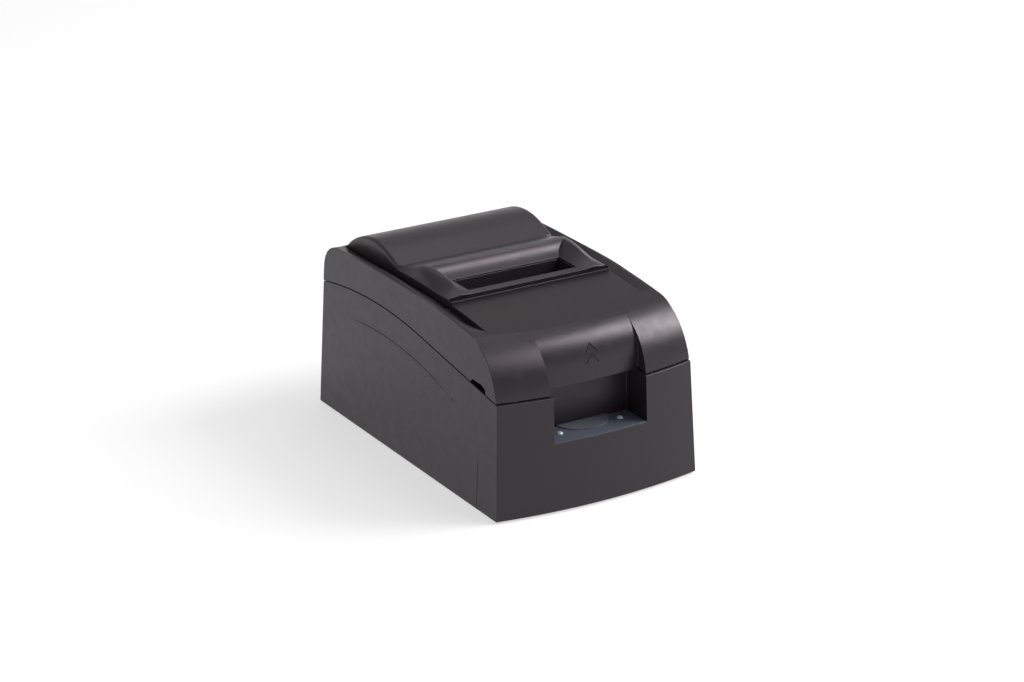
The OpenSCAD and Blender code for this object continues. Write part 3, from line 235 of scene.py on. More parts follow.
# The shell's dark brown-grey plastic, and the tint of its highlights.
CHARCOAL = (0.0128, 0.0100, 0.0121)
CHARCOAL_SHINE = (1.0, 0.885, 0.975)
SURFACES = {
    "case_plastic": moulded("case_plastic", CHARCOAL, 0.37, specular=0.44, tint=CHARCOAL_SHINE),
    "cover_plastic": moulded("cover_plastic", CHARCOAL, 0.36, specular=0.45, tint=CHARCOAL_SHINE),
    # The roll cover is the same charcoal plastic painted 1.6 times lighter: painted light for the brighter shading
    # on its upward slopes.
    "lid_plastic": moulded("lid_plastic", scaled(CHARCOAL, 1.6), 0.36, tint=CHARCOAL_SHINE),
    "panel_film": film("panel_film", (0.066, 0.078, 0.102), 0.42),
    "key_film": film("key_film", (0.085, 0.095, 0.118), 0.38),
    "lens_plastic": lens("lens_plastic", (0.32, 0.36, 0.4)),
    "tear_steel": metal("tear_steel", (0.03, 0.03, 0.032), 0.4, (0.08, 1, 1), glance=0.15),
    "galvanised_steel": zinc("galvanised_steel", (0.55, 0.56, 0.57), 0.38),
    "ground_steel": metal("ground_steel", (0.62, 0.62, 0.63), 0.2, (1, 0.1, 0.1), 1600),
    "screw_steel": metal("screw_steel", (0.5, 0.5, 0.51), 0.3, (1, 1, 1), 1500),
    "motor_steel": metal("motor_steel", (0.48, 0.48, 0.49), 0.36, (1, 1, 0.15), 1000),
    "socket_metal": metal("socket_metal", (0.6, 0.6, 0.61), 0.26, (0.2, 1, 1), 1200),
    "cast_aluminium": metal("cast_aluminium", (0.42, 0.42, 0.43), 0.5, (1, 1, 1), 1200, 0.00004, 0.1),
    "brass_parts": metal("brass_parts", (0.66, 0.5, 0.24), 0.28, (1, 1, 1), 1400),
    "white_plastic": moulded("white_plastic", (0.68, 0.66, 0.6), 0.42, 900, 0.00002, 0.03),
    "black_plastic": moulded("black_plastic", (0.022, 0.022, 0.024), 0.42, 1300, 0.00004, 0.08),
    "well_plastic": moulded("well_plastic", (0.035, 0.033, 0.035), 0.46, 1300, 0.00004, 0.08),
    "cassette_plastic": moulded("cassette_plastic", (0.026, 0.026, 0.028), 0.4, 1300, 0.00004, 0.08),
    "knob_plastic": moulded("knob_plastic", (0.13, 0.19, 0.27), 0.4, 1300, 0.00003, 0.05),
    "rocker_plastic": moulded("rocker_plastic", (0.016, 0.016, 0.017), 0.2, 600, 0.00001, 0.05),
    "chip_plastic": moulded("chip_plastic", (0.02, 0.02, 0.022), 0.55, 1800, 0.00004, 0.1),
    "capacitor_sleeve": moulded("capacitor_sleeve", (0.03, 0.045, 0.11), 0.25, 700, 0.00001, 0.05),
    "green_board": board("green_board", (0.016, 0.13, 0.06)),
    "black_rubber": moulded("black_rubber", (0.022, 0.022, 0.022), 0.75, 1100, 0.00005, 0.12, specular=0.3),
    "belt_rubber": moulded("belt_rubber", (0.018, 0.018, 0.018), 0.68, 1300, 0.00005, 0.1, specular=0.35),
    "ribbon_fabric": ribbon("ribbon_fabric", (0.02, 0.012, 0.04)),
}


def dress(obj, slot):
    """Gives an object the material of its slot alone."""
    obj.data.materials.clear()
    obj.data.materials.append(SURFACES[slot])


# Real edges are never razor sharp: each solid gets the radius that its making leaves on it.
EDGE_MM = {"ribbon_cassette": 0.4, "roll_well": 0.4, "carriage": 0.4, "ribbon_knob": 0.3, "platen": 0.3,
           "feed_key": 0.2, "switch_rocker": 0.25, "paper_guide": 0.25, "rubber_feet": 0.3,
           "control_panel": 0.08, "tear_bar": 0.06, "board_chips": 0.1}
PLAIN_EDGE_MM = 0.12
# Packed triangles are welded within WELD metres, and joined where they turn less than FLAT_DEG.
WELD, FLAT_DEG, SHARP_DEG = 2e-5, 0.02, 34


def soften(obj, width):
    """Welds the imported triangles, joins the flat ones, and rounds the edges."""
    weld = obj.modifiers.new("weld", "WELD")
    weld.merge_threshold = WELD
    flat = obj.modifiers.new("flat", "DECIMATE")
    flat.decimate_type = "DISSOLVE"
    flat.angle_limit = math.radians(FLAT_DEG)
    edge = obj.modifiers.new("edge", "BEVEL")
    edge.width = width * MM
    edge.segments = 2
    edge.limit_method = "ANGLE"
    edge.angle_limit = math.radians(SHARP_DEG)
    edge.harden_normals = True
    edge.use_clamp_overlap = True


for part in frame["record"]["subparts"]:
    node = frame["nodes"][part["node"]]
    dress(node, part["material_slot"])
    soften(node, EDGE_MM.get(part["node"], PLAIN_EDGE_MM))

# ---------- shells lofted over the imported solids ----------
# The forms below repeat the solids' own values, in millimetres, but for what was read from the photo's shading:
# the scoop, the rails' edge and flank, the groove, the grip cuts, the funnel, the collar's slopes and the rounds
# of the hump's ends. The seam's gap and the marks' depth and width differ by up to 0.1 mm.
# The side and rear walls at their foot, and how much they lean in for each millimetre of height.
CASE_X, CASE_REAR_Y, WALL_FOOT_Z, SIDE_LEAN, REAR_LEAN = 78.5, 126.0, 1.5, 0.04, 0.037
# The nose is a round of NOSE_R carried about an upright axis at NOSE_RHO, so the front bows in plan.
AXIS_Y, NOSE_RHO, NOSE_Z, NOSE_R = 272.9, 347.9, 75.18, 45.3
# The angles on the nose, in radians, between which its foot and its top corner are sought.
NOSE_LOW, NOSE_TURN, NOSE_HIGH, HALVINGS = -0.3, 0.8, 1.5, 40
# The crown is a long arc over the printer, and the tail is the round at its rear.
CROWN_Z, CROWN_R, CROWN_Y = 125.2, 870.0, 28.0
TAIL_Y, TAIL_Z, TAIL_R, TAIL_FOOT_Z = 104.663, 104.316, 17.5, 93
# The seam between cover and case: an arc at the rear and a slope in front of the knee.
SEAM_Y, SEAM_Z, SEAM_R, SEAM_KNEE, SEAM_SLOPE, SEAM_GAP = 45.0, 100.3, 400.0, -13.3685, 0.1475, 0.6
# The opening for the roll cover, the step at its sides and the groove that runs on beside the front plate.
OPEN_Y0, OPEN_Y1, OPEN_X, STEP_X, VALLEY_Z, VALLEY_Y = -35.1, 113.6, 62.8, 62.4, 119.8, -20.0
GROOVE_Z, GROOVE_BEND, GROOVE_END = 4.4, -60.0, -79.0
# The rail's rounded outer edge, and the least run of its sloping flank.
RAIL_X, RAIL_Z, RAIL_R, FLANK_RUN = 71.4, 123.0, 2.3, 0.6
# The scoop over the recess: a bowed back under a brow that runs into the nose, and the lip below it.
SCOOP_X, SCOOP_Y, SCOOP_R, SCOOP_BOW = 36.9, -110.4, 27.0, NOSE_RHO + 20
LIP_X, LIP_Z, LIP_RUN = 34.9, 82.0, 0.8
SCOOP_BACK = SCOOP_Y + SCOOP_R - (AXIS_Y - NOSE_RHO)
SCOOP_RISE = math.sqrt((NOSE_R - SCOOP_R) ** 2 - SCOOP_BACK ** 2)
BROW = math.atan2(SCOOP_RISE, -SCOOP_BACK)
COVER_WALL, SHELL_EDGE_MM = 2.4, 0.35
# A shell's edge is rounded where it turns by CREASE_DEG and its corners have this much room.
ROOM_MM, CREASE_DEG = 0.8, 20
# Points of a loft are merged within MERGE metres; what a cut leaves shorter than SLIVER metres goes.
MERGE, SLIVER = 1.5e-5, 2e-6


def crown(y):
    """The height of the cover's top along the printer."""
    return CROWN_Z - CROWN_R + math.sqrt(CROWN_R ** 2 - (y - CROWN_Y) ** 2)


def seam_arc(y):
    """The height of the seam's arc along the printer."""
    return SEAM_Z - SEAM_R + math.sqrt(SEAM_R ** 2 - (y - SEAM_Y) ** 2)


def cover_foot(y):
    """The cover's lower edge over the case."""
    if y > SEAM_KNEE:
        return seam_arc(y) + SEAM_GAP
    return seam_arc(SEAM_KNEE) - SEAM_SLOPE * (SEAM_KNEE - y) + SEAM_GAP


def valley(y):
    """The bottom of the groove beside the plate and the roll cover."""
    if y > VALLEY_Y:
        return VALLEY_Z
    sunk = GROOVE_Z * max(0.0, min(1.0, (y - GROOVE_END) / (GROOVE_BEND - GROOVE_END)))
    return min(VALLEY_Z, crown(y) - sunk)


def half_width(z):
    """x of the side wall at a height."""
    return CASE_X - SIDE_LEAN * (z - WALL_FOOT_Z)


def rear_face(z):
    """y of the rear wall at a height."""
    return CASE_REAR_Y - REAR_LEAN * (z - WALL_FOOT_Z)


def nose(angle, x):
    """The nose's (y, z) at an angle up its round."""
    rho = NOSE_RHO + NOSE_R * math.cos(angle)
    return AXIS_Y - math.sqrt(rho * rho - x * x), NOSE_Z + NOSE_R * math.sin(angle)


def crossing(test, low, high):
    """Where test changes sign between two angles."""
    rising = test(high) > 0
    for _ in range(HALVINGS):
        middle = (low + high) / 2
        if (test(middle) > 0) == rising:
            high = middle
        else:
            low = middle
    return (low + high) / 2


def spread(low, high, count):
    """count even steps from low to high, with both ends."""
    return [low + (high - low) * i / count for i in range(count + 1)]


def bowed(x):
    """How far the scoop's back has bowed rearwards at x."""
    return x * x / (2 * SCOOP_BOW)


# Rows up the front: the scoop's upright back, all below the brow, the nose above it, and the plate.
BACK_ROWS, FRONT_LOW, FRONT_MID, FRONT_TOP = 6, 18, 12, 10
# How far the blend between nose and plate reaches.
BEND = 2.2
profiles = {}


def front_profile(x, scooped):
    """The cover's front at one x as (y, z), from the foot over the nose to the opening's front edge."""
    key = (round(x, 3), scooped)
    if key in profiles:
        return profiles[key]
    foot = crossing(lambda a: nose(a, x)[1] - cover_foot(nose(a, x)[0]), NOSE_LOW, NOSE_TURN)
    corner = crossing(lambda a: nose(a, x)[1] - crown(nose(a, x)[0]), NOSE_TURN, NOSE_HIGH)
    if scooped:
        deep = SCOOP_Y + bowed(x)
        low = LIP_Z if x <= LIP_X else LIP_Z + (cover_foot(deep) - LIP_Z) * min(1, (x - LIP_X) / LIP_RUN)
        line = [(deep, z) for z in spread(low, NOSE_Z + SCOOP_RISE, BACK_ROWS)]
        line += [(deep + SCOOP_R * (1 - math.cos(a)), NOSE_Z + SCOOP_RISE + SCOOP_R * math.sin(a))
                 for a in spread(0, BROW, FRONT_LOW - BACK_ROWS)[1:-1]]
        line.append(nose(BROW, x))
    else:
        line = [nose(a, x) for a in spread(foot, BROW, FRONT_LOW)]
    line += [nose(a, x) for a in spread(BROW, corner - BEND / NOSE_R, FRONT_MID)[1:]]
    start = line[-1]
    kink = nose(corner, x)
    end = (kink[0] + BEND, crown(kink[0] + BEND))
    for t in (0.2, 0.4, 0.6, 0.8):
        line.append(tuple((1 - t) ** 2 * start[i] + 2 * t * (1 - t) * kink[i] + t * t * end[i] for i in (0, 1)))
    line += [(y, crown(y)) for y in spread(end[0], OPEN_Y0, FRONT_TOP)]
    profiles[key] = line
    return line


def outer_row(at, high, step_inner):
    """One row over the groove, the rail and the side wall, outwards and down.

    at(x) gives (y, z) on the top for an x; high is its z at the step. step_inner adds the step's own two points.
    """
    row = []
    low = min(high, valley(at(STEP_X)[0]))
    if step_inner:
        row += [(STEP_X, *at(STEP_X)), (STEP_X, at(STEP_X)[0], low)]
    row.append((OPEN_X, at(OPEN_X)[0], low))
    # The edge lies where the top meets the rail's round, and the top's height changes with x.
    z = high
    for _ in range(6):
        edge = RAIL_X + math.sqrt(RAIL_R ** 2 - (z - RAIL_Z) ** 2) if z > RAIL_Z else half_width(z)
        z = at(edge)[1]
    flank = max(OPEN_X + FLANK_RUN, min(RAIL_X, edge - FLANK_RUN))
    sunk = at(OPEN_X)[1] - low
    for x in spread(OPEN_X, flank, 4)[1:]:
        y, z = at(x)
        row.append((x, y, z - sunk * (flank - x) / (flank - OPEN_X)))
    for x in spread(flank, edge, 2)[1:]:
        row.append((x, *at(x)))
    y, z = at(edge)
    turn = math.asin(max(0, min(1, (z - RAIL_Z) / RAIL_R)))
    for a in spread(turn, 0, 7)[1:]:
        row.append((RAIL_X + RAIL_R * math.cos(a) if z > RAIL_Z else half_width(z), y,
                    min(z, RAIL_Z + RAIL_R * math.sin(a))))
    for wall_z in spread(min(z, RAIL_Z), cover_foot(y), 8)[1:]:
        row.append((half_width(wall_z), y, wall_z))
    return row


def lofted(bm, rows):
    """Quads between rows of points given in millimetres."""
    grid = [[bm.verts.new((x * MM, y * MM, z * MM)) for x, y, z in row] for row in rows]
    for a, b in zip(grid, grid[1:]):
        for i in range(len(a) - 1):
            bm.faces.new((a[i], a[i + 1], b[i + 1], b[i]))


def mirrored(bm):
    """Adds the left half and closes the middle."""
    copy = bmesh.ops.duplicate(bm, geom=bm.verts[:] + bm.edges[:] + bm.faces[:])["geom"]
    for v in copy:
        if isinstance(v, bmesh.types.BMVert):
            v.co.x = -v.co.x
    bmesh.ops.reverse_faces(bm, faces=[f for f in copy if isinstance(f, bmesh.types.BMFace)])
    bmesh.ops.remove_doubles(bm, verts=bm.verts, dist=MERGE)
    bmesh.ops.dissolve_degenerate(bm, edges=bm.edges, dist=MERGE)


def outward(bm):
    """Turns an open sheet so that its top looks up."""
    bmesh.ops.recalc_face_normals(bm, faces=bm.faces)
    # The highest face, and of equal ones the flattest.
    top = max(bm.faces, key=lambda f: f.calc_center_median().z * 4 + abs(f.normal.z) * 0.01)
    if top.normal.z < 0:
        bmesh.ops.reverse_faces(bm, faces=bm.faces)


def mesh_object(name, bm):
    """An object in the scene from what was built, which is spent."""
    mesh = bpy.data.meshes.new(name)
    bm.to_mesh(mesh)
    bm.free()
    obj = bpy.data.objects.new(name, mesh)
    bpy.context.scene.collection.objects.link(obj)
    return obj


def solid_block(bm, x0, x1, y0, y1, z0, z1):
    """An upright box."""
    verts = [bm.verts.new((x * MM, y * MM, z * MM)) for x in (x0, x1) for y in (y0, y1) for z in (z0, z1)]
    for face in ((0, 1, 3, 2), (4, 6, 7, 5), (0, 4, 5, 1), (2, 3, 7, 6), (0, 2, 6, 4), (1, 5, 7, 3)):
        bm.faces.new([verts[i] for i in face])


def solid_bar(bm, radius, x0, x1, y, z, sides=40):
    """A round bar along X."""
    rings = [[bm.verts.new((x * MM, (y + radius * math.cos(a)) * MM, (z + radius * math.sin(a)) * MM))
              for a in spread(0, 2 * math.pi, sides)[:-1]] for x in (x0, x1)]
    for i in range(sides):
        bm.faces.new((rings[0][i], rings[1][i], rings[1][(i + 1) % sides], rings[0][(i + 1) % sides]))
    bm.faces.new(rings[0])
    bm.faces.new(rings[1][::-1])


def solid_prism(bm, outline, x0, x1):
    """A (y, z) outline carried along X."""
    ends = [[bm.verts.new((x * MM, y * MM, z * MM)) for y, z in outline] for x in (x0, x1)]
    for i in range(len(outline)):
        j = (i + 1) % len(outline)
        bm.faces.new((ends[0][i], ends[1][i], ends[1][j], ends[0][j]))
    bm.faces.new(ends[0])
    bm.faces.new(ends[1][::-1])


def settled(obj, cutter=None, added=None, wall=None, filler=None):
    """Gives a sheet its wall, fills, cuts and adds what it is given, and keeps the result as plain mesh.

    Its sharp edges are marked, and weighted for rounding where there is room.
    """
    if wall:
        shell = obj.modifiers.new("wall", "SOLIDIFY")
        shell.thickness = wall * MM
        shell.offset = -1
        shell.use_even_offset = True
        shell.thickness_clamp = 1.0
    if filler:
        fill = obj.modifiers.new("fill", "BOOLEAN")
        fill.operation = "UNION"
        fill.solver = "EXACT"
        fill.object = filler
    if cutter:
        cut = obj.modifiers.new("cut", "BOOLEAN")
        cut.operation = "DIFFERENCE"
        cut.solver = "EXACT"
        cut.use_self = True
        cut.object = cutter
    bpy.context.view_layer.update()
    mesh = bpy.data.meshes.new_from_object(obj.evaluated_get(bpy.context.evaluated_depsgraph_get()))
    obj.modifiers.clear()
    obj.data = mesh
    for helper in (cutter, filler):
        if helper:
            bpy.data.objects.remove(helper)
    bm = bmesh.new()
    bm.from_mesh(mesh)
    if added:
        extra = bpy.data.meshes.new("extra")
        added.normal_update()
        bmesh.ops.recalc_face_normals(added, faces=added.faces)
        added.to_mesh(extra)
        added.free()
        bm.from_mesh(extra)
    bmesh.ops.dissolve_degenerate(bm, edges=bm.edges, dist=SLIVER)
    bm.normal_update()
    for face in bm.faces:
        face.smooth = True
    for edge in bm.edges:
        edge.smooth = len(edge.link_faces) == 2 and edge.calc_face_angle(0) < math.radians(CREASE_DEG)
    weights = bm.edges.layers.float.new("bevel_weight_edge")
    tight = {v for edge in bm.edges if edge.calc_length() < ROOM_MM * MM for v in edge.verts}
    for edge in bm.edges:
        edge[weights] = float(not edge.smooth and len(edge.link_faces) == 2 and not tight.intersection(edge.verts))
    bm.to_mesh(mesh)
    bm.free()
    return obj


def finished(obj, slot, body, node):
    """Rounds a shell's edges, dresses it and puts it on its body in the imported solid's place."""
    edge = obj.modifiers.new("edge", "BEVEL")
    edge.width = SHELL_EDGE_MM * MM
    edge.segments = 3
    edge.limit_method = "WEIGHT"
    edge.harden_normals = True
    edge.use_clamp_overlap = False
    even = obj.modifiers.new("even", "WEIGHTED_NORMAL")
    even.keep_sharp = True
    even.weight = 50
    dress(obj, slot)
    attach(obj, body)
    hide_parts(node)


def cover_skin():
    """The cover's outer face as an open sheet: the front, the rails and the bar at the tail."""
    bm = bmesh.new()
    # Columns across the front, closer where it turns.
    scooped = [0, 4, 8, 12, 16, 20, 24, 28, 31.5, 33.5, LIP_X, LIP_X + LIP_RUN, SCOOP_X]
    plain = [SCOOP_X, 38.5, 41, 44.5, 48.5, 52.5, 56.5, 60, STEP_X]
    columns = [(x, front_profile(x, True)) for x in scooped] + [(x, front_profile(x, False)) for x in plain]
    count = len(columns[0][1])
    lofted(bm, [[(x, *line[k]) for x, line in columns] for k in range(count)])
    outer = []
    for k in range(count):
        high = front_profile(STEP_X, False)[k][1]
        outer.append(outer_row(lambda x: front_profile(x, False)[k], high, True))
    lofted(bm, outer)
    rails = [outer_row(lambda x, y=y: (y, crown(y)), crown(y), False) for y in spread(OPEN_Y0, TAIL_Y, 24)]
    rails[0] = outer[-1][2:]
    # The tail's round; the bar behind the opening starts where the round passes the opening's rear edge.
    lip_turn = math.acos((OPEN_Y1 - TAIL_Y) / TAIL_R)
    turns = spread(math.pi / 2, lip_turn, 5)[1:] + spread(lip_turn, 0, 8)[1:]
    tail = [(TAIL_Y + TAIL_R * math.cos(a), TAIL_Z + TAIL_R * math.sin(a)) for a in turns]
    foot_z = cover_foot(rear_face(TAIL_FOOT_Z))
    tail += [(rear_face(z), z) for z in spread(TAIL_Z, foot_z, 3)[1:]]
    rails += [outer_row(lambda x, p=p: p, p[1], False) for p in tail]
    lofted(bm, rails)
    bar_x = [0, 10, 20, 30, 40, 50, 56, STEP_X, OPEN_X]
    lofted(bm, [[(x, *p) for x in bar_x] for p in tail[4:]])
    mirrored(bm)
    outward(bm)
    return mesh_object("printer_cover_shell", bm)


# The grip cuts: (y, height over the seam's slope) of their outline, and x from which they cut outwards.
GRIP = [(-79.8, 0.4), (-83.2, 3.7), (-94.5, 4.9), (-98.6, 3.9), (-100.6, -2), (-79.8, -2)]
GRIP_Y, GRIP_X0, GRIP_X1 = -91, 66, 90
# The cover's hinge: its knuckle turns between two ears of the case, for which the cover's edge has gaps.
# KNUCKLE_X, KNUCKLE_GAP_W and the roll cover's widths below are halves.
HINGE_X, HINGE_Y, HINGE_Z = 55.0, 122.8, 93.0011
KNUCKLE_X, KNUCKLE_R, KNUCKLE_GAP_X, KNUCKLE_GAP_R, KNUCKLE_GAP_W = 2.7, 3, 5.3, 3.4, 2.6
# The roll cover's hinge: two ears of the cover hold one knuckle of the roll cover.
LID_HINGE_X, LID_HINGE_Y, LID_HINGE_Z = 54.0, 110.5, 118.314
LID_EAR_X, LID_EAR_R, LID_EAR_W, LID_ROUND_SIDES = 4.7, 2.5, 1.5, 28
LID_EAR_ROOT, LID_EAR_Z0, LID_EAR_Z1 = 114.8, LID_HINGE_Z - 1.6, LID_HINGE_Z + 0.4
# The ledge on which the roll cover lies.
LEDGE_X0, LEDGE_X1, LEDGE_Y0, LEDGE_Y1, LEDGE_Z0, LEDGE_Z1 = 58.2, 64, -36.2, 102.5, 117.0, 119.2
LEDGE_FRONT_Y0, LEDGE_FRONT_Y1 = -37.1, -31.3
# The two pointed marks in the scoop: the height of their tips, their arms' length, half width and lean.
ARROW_TOPS, ARROW_ARM, ARROW_HALF, ARROW_TIP = (106.5, 100.1), 7.5, 0.36, -0.27
ARROW_PROUD, ARROW_DEEP, ARROW_LEAN = -0.6, 0.45, math.radians(40)


def scoop_back(x, z, deep):
    """y of the scoop's surface, sunk by deep."""
    return SCOOP_Y + bowed(x) + SCOOP_R - math.sqrt((SCOOP_R - deep) ** 2 - max(0, z - NOSE_Z - SCOOP_RISE) ** 2)


def arrow_cut(bm, top):
    """A pointed mark sunk in the scoop's back: two arms that meet at the top."""
    for side in (-1, 1):
        rings = []
        for s in spread(ARROW_TIP, ARROW_ARM, 8):
            cx, cz = side * s * math.sin(ARROW_LEAN), top - s * math.cos(ARROW_LEAN)
            nx, nz = side * math.cos(ARROW_LEAN) * ARROW_HALF, math.sin(ARROW_LEAN) * ARROW_HALF
            ring = []
            for k, deep in ((-1, ARROW_PROUD), (1, ARROW_PROUD), (1, ARROW_DEEP), (-1, ARROW_DEEP)):
                x, z = cx + k * nx, cz + k * nz
                ring.append(bm.verts.new((x * MM, scoop_back(x, z, deep) * MM, z * MM)))
            rings.append(ring)
        for a, b in zip(rings, rings[1:]):
            for i in range(4):
                bm.faces.new((a[i], a[(i + 1) % 4], b[(i + 1) % 4], b[i]))
        bm.faces.new(rings[0][::-1])
        bm.faces.new(rings[-1])


def build_cover():
    """The cover: its sheet walled, cut for the hinge, the grips and the marks, and given its ledge and knuckles."""
    cuts = bmesh.new()
    for side in (-1, 1):
        for ear in (-1, 1):
            x = side * HINGE_X + ear * KNUCKLE_GAP_X
            solid_bar(cuts, KNUCKLE_GAP_R, x - KNUCKLE_GAP_W, x + KNUCKLE_GAP_W, HINGE_Y, HINGE_Z)
        x0, x1 = sorted((side * GRIP_X0, side * GRIP_X1))
        base = cover_foot(GRIP_Y) - SEAM_GAP
        solid_prism(cuts, [(y, base + z + SEAM_SLOPE * (y - GRIP_Y)) for y, z in GRIP], x0, x1)
    for top in ARROW_TOPS:
        arrow_cut(cuts, top)
    bmesh.ops.recalc_face_normals(cuts, faces=cuts.faces)
    cutter = mesh_object("cover_cuts", cuts)
    extra = bmesh.new()
    for side in (-1, 1):
        x0, x1 = sorted((side * LEDGE_X0, side * LEDGE_X1))
        solid_block(extra, x0, x1, LEDGE_Y0, LEDGE_Y1, LEDGE_Z0, LEDGE_Z1)
        solid_bar(extra, KNUCKLE_R, side * HINGE_X - KNUCKLE_X, side * HINGE_X + KNUCKLE_X, HINGE_Y, HINGE_Z)
        for ear in (-1, 1):
            x = side * LID_HINGE_X + ear * LID_EAR_X
            solid_bar(extra, LID_EAR_R, x - LID_EAR_W, x + LID_EAR_W, LID_HINGE_Y, LID_HINGE_Z, LID_ROUND_SIDES)
            solid_block(extra, x - LID_EAR_W, x + LID_EAR_W, LID_HINGE_Y, LID_EAR_ROOT, LID_EAR_Z0, LID_EAR_Z1)
    solid_block(extra, -STEP_X, STEP_X, LEDGE_FRONT_Y0, LEDGE_FRONT_Y1, LEDGE_Z0, LEDGE_Z1)
    shell = settled(cover_skin(), cutter, extra, COVER_WALL)
    finished(shell, "cover_plastic", "printer_cover", "printer_cover")


build_cover()

# The hump over the roll, the round of its ends, and the angles in degrees between which its arc runs.
HUMP_Y, HUMP_Z, HUMP_R, HUMP_EDGE, HUMP_LOW, HUMP_HIGH = 71.0, 81.5, 55.0, 3.0, 46, 112.45
# The round of the ends grows from TAIL_EDGE at the tail to its full size within HUMP_TURN degrees.
TAIL_EDGE, FLAT_EDGE, HUMP_TURN = 0.6, 0.5, 40
LID_X, LID_Y0, LID_Y1, LID_FOOT, LID_TAIL_FOOT, LID_TAIL_Y = 62.4, -34.7, 112.6, 119.4, 117.8, 104
# The slope in front of the hump, from its knee down to the crease at the collar.
CREASE_Y, CREASE_Z, KNEE_Y, KNEE_Z = 37.5, 127.169, 50.0, 132.33
# The collar round the slot: its ridge, the arc of the ridge's height and the dip of its arms in front.
RIDGE_Y, RIDGE_X, RIDGE_END, COLLAR_R, COLLAR_Y, COLLAR_Z = 14.0, 52.6, 8.5, 121.0, 8.0, 13.5
DIP_Z, DIP_Y, DIP_RUN = 1.2, -22, 9.1
# The outer slope runs straight in front of FLAT_Y, and is fully rounded at the ridge's end.
FLAT_Y = -15
# The slot, the strip in front of it, the tear bar's seat and the foot of the outer slope.
SLOT_X, SLOT_Y0, SLOT_Y1, SLOT_Z, ARM_Y, SEAT_Z, EAVE_Z = 42.3, -23.7, -1.5, 125.9, -31.1, 124.5, 125.3
STRIP_Y = -27.4
# The point to which the funnel's rear wall bends.
FUNNEL_Y, FUNNEL_Z = 6.0, 129.0
LID_WALL = 2.2
# The throat that leads the paper up to the slot.
THROAT_Z, THROAT_WALL = 113.5, 1.8
# The gaps for the cover's ears, and the knuckle between them with the root that ties it to the lid.
LID_GAP_R, LID_GAP_W, LID_KNUCKLE_W = 2.9, 1.85, 2.8
LID_ROOT_Y, LID_ROOT_Z0, LID_ROOT_Z1 = LID_HINGE_Y - 5, LID_HINGE_Z - 1, LID_HINGE_Z + 2
# (y, z) of the flat rear behind the hump, and (y, round of the ends) down the slope in front of it.
TAIL_ROWS = ((LID_Y1, LID_TAIL_FOOT + 0.02), (LID_Y1, 119.76), (110.9, 120.55))
SLOPE_ROWS = ((46, 2.9), (42, 2.7), (39, 2.4))


def collar(y):
    """The collar's ridge height along the printer."""
    return COLLAR_Z + math.sqrt(COLLAR_R ** 2 - (y - COLLAR_Y) ** 2)


TOP_Z = collar(RIDGE_END)


def ridge(y):
    """The arms' height, dipping at their front ends."""
    return collar(y) - DIP_Z * max(0.0, (DIP_Y - y) / DIP_RUN) ** 2


def funnel_x(y, z):
    """Half width of the funnel at a height: ruled from the slot's edge to the ridge."""
    return SLOT_X + (z - SLOT_Z) * (RIDGE_X - SLOT_X) / (ridge(y) - SLOT_Z)


def outer_columns(y, high):
    """From the ridge over the outer slope, rounded at the rear and flat in front, and down the lid's side."""
    bend = 1 + 2 * max(0.0, min(1.0, (y - FLAT_Y) / (RIDGE_END - FLAT_Y)))
    row = [(RIDGE_X + (LID_X - RIDGE_X) * s, y, high + (EAVE_Z - high) * s ** bend) for s in spread(0, 1, 9)]
    return row + [(LID_X, y, z) for z in spread(EAVE_Z, LID_FOOT, 3)[1:]]


def hump_row(y, z, normal, edge, foot):
    """One row over the hump: its rounded end bends away from the surface's normal."""
    start = LID_X - edge
    row = [(RIDGE_X * f, y, z) for f in spread(0, 1, 5)]
    row += [(x, y, z) for x in spread(RIDGE_X, max(RIDGE_X + 0.3, start), 3)[1:]]
    for a in spread(math.pi / 2, 0, 6)[1:]:
        drop = edge * (1 - math.sin(a))
        row.append((start + edge * math.cos(a), y - normal[0] * drop, max(foot, z - normal[1] * drop)))
    last = row[-1]
    return row + [(LID_X, last[1], w) for w in spread(last[2], foot, 3)[1:]]


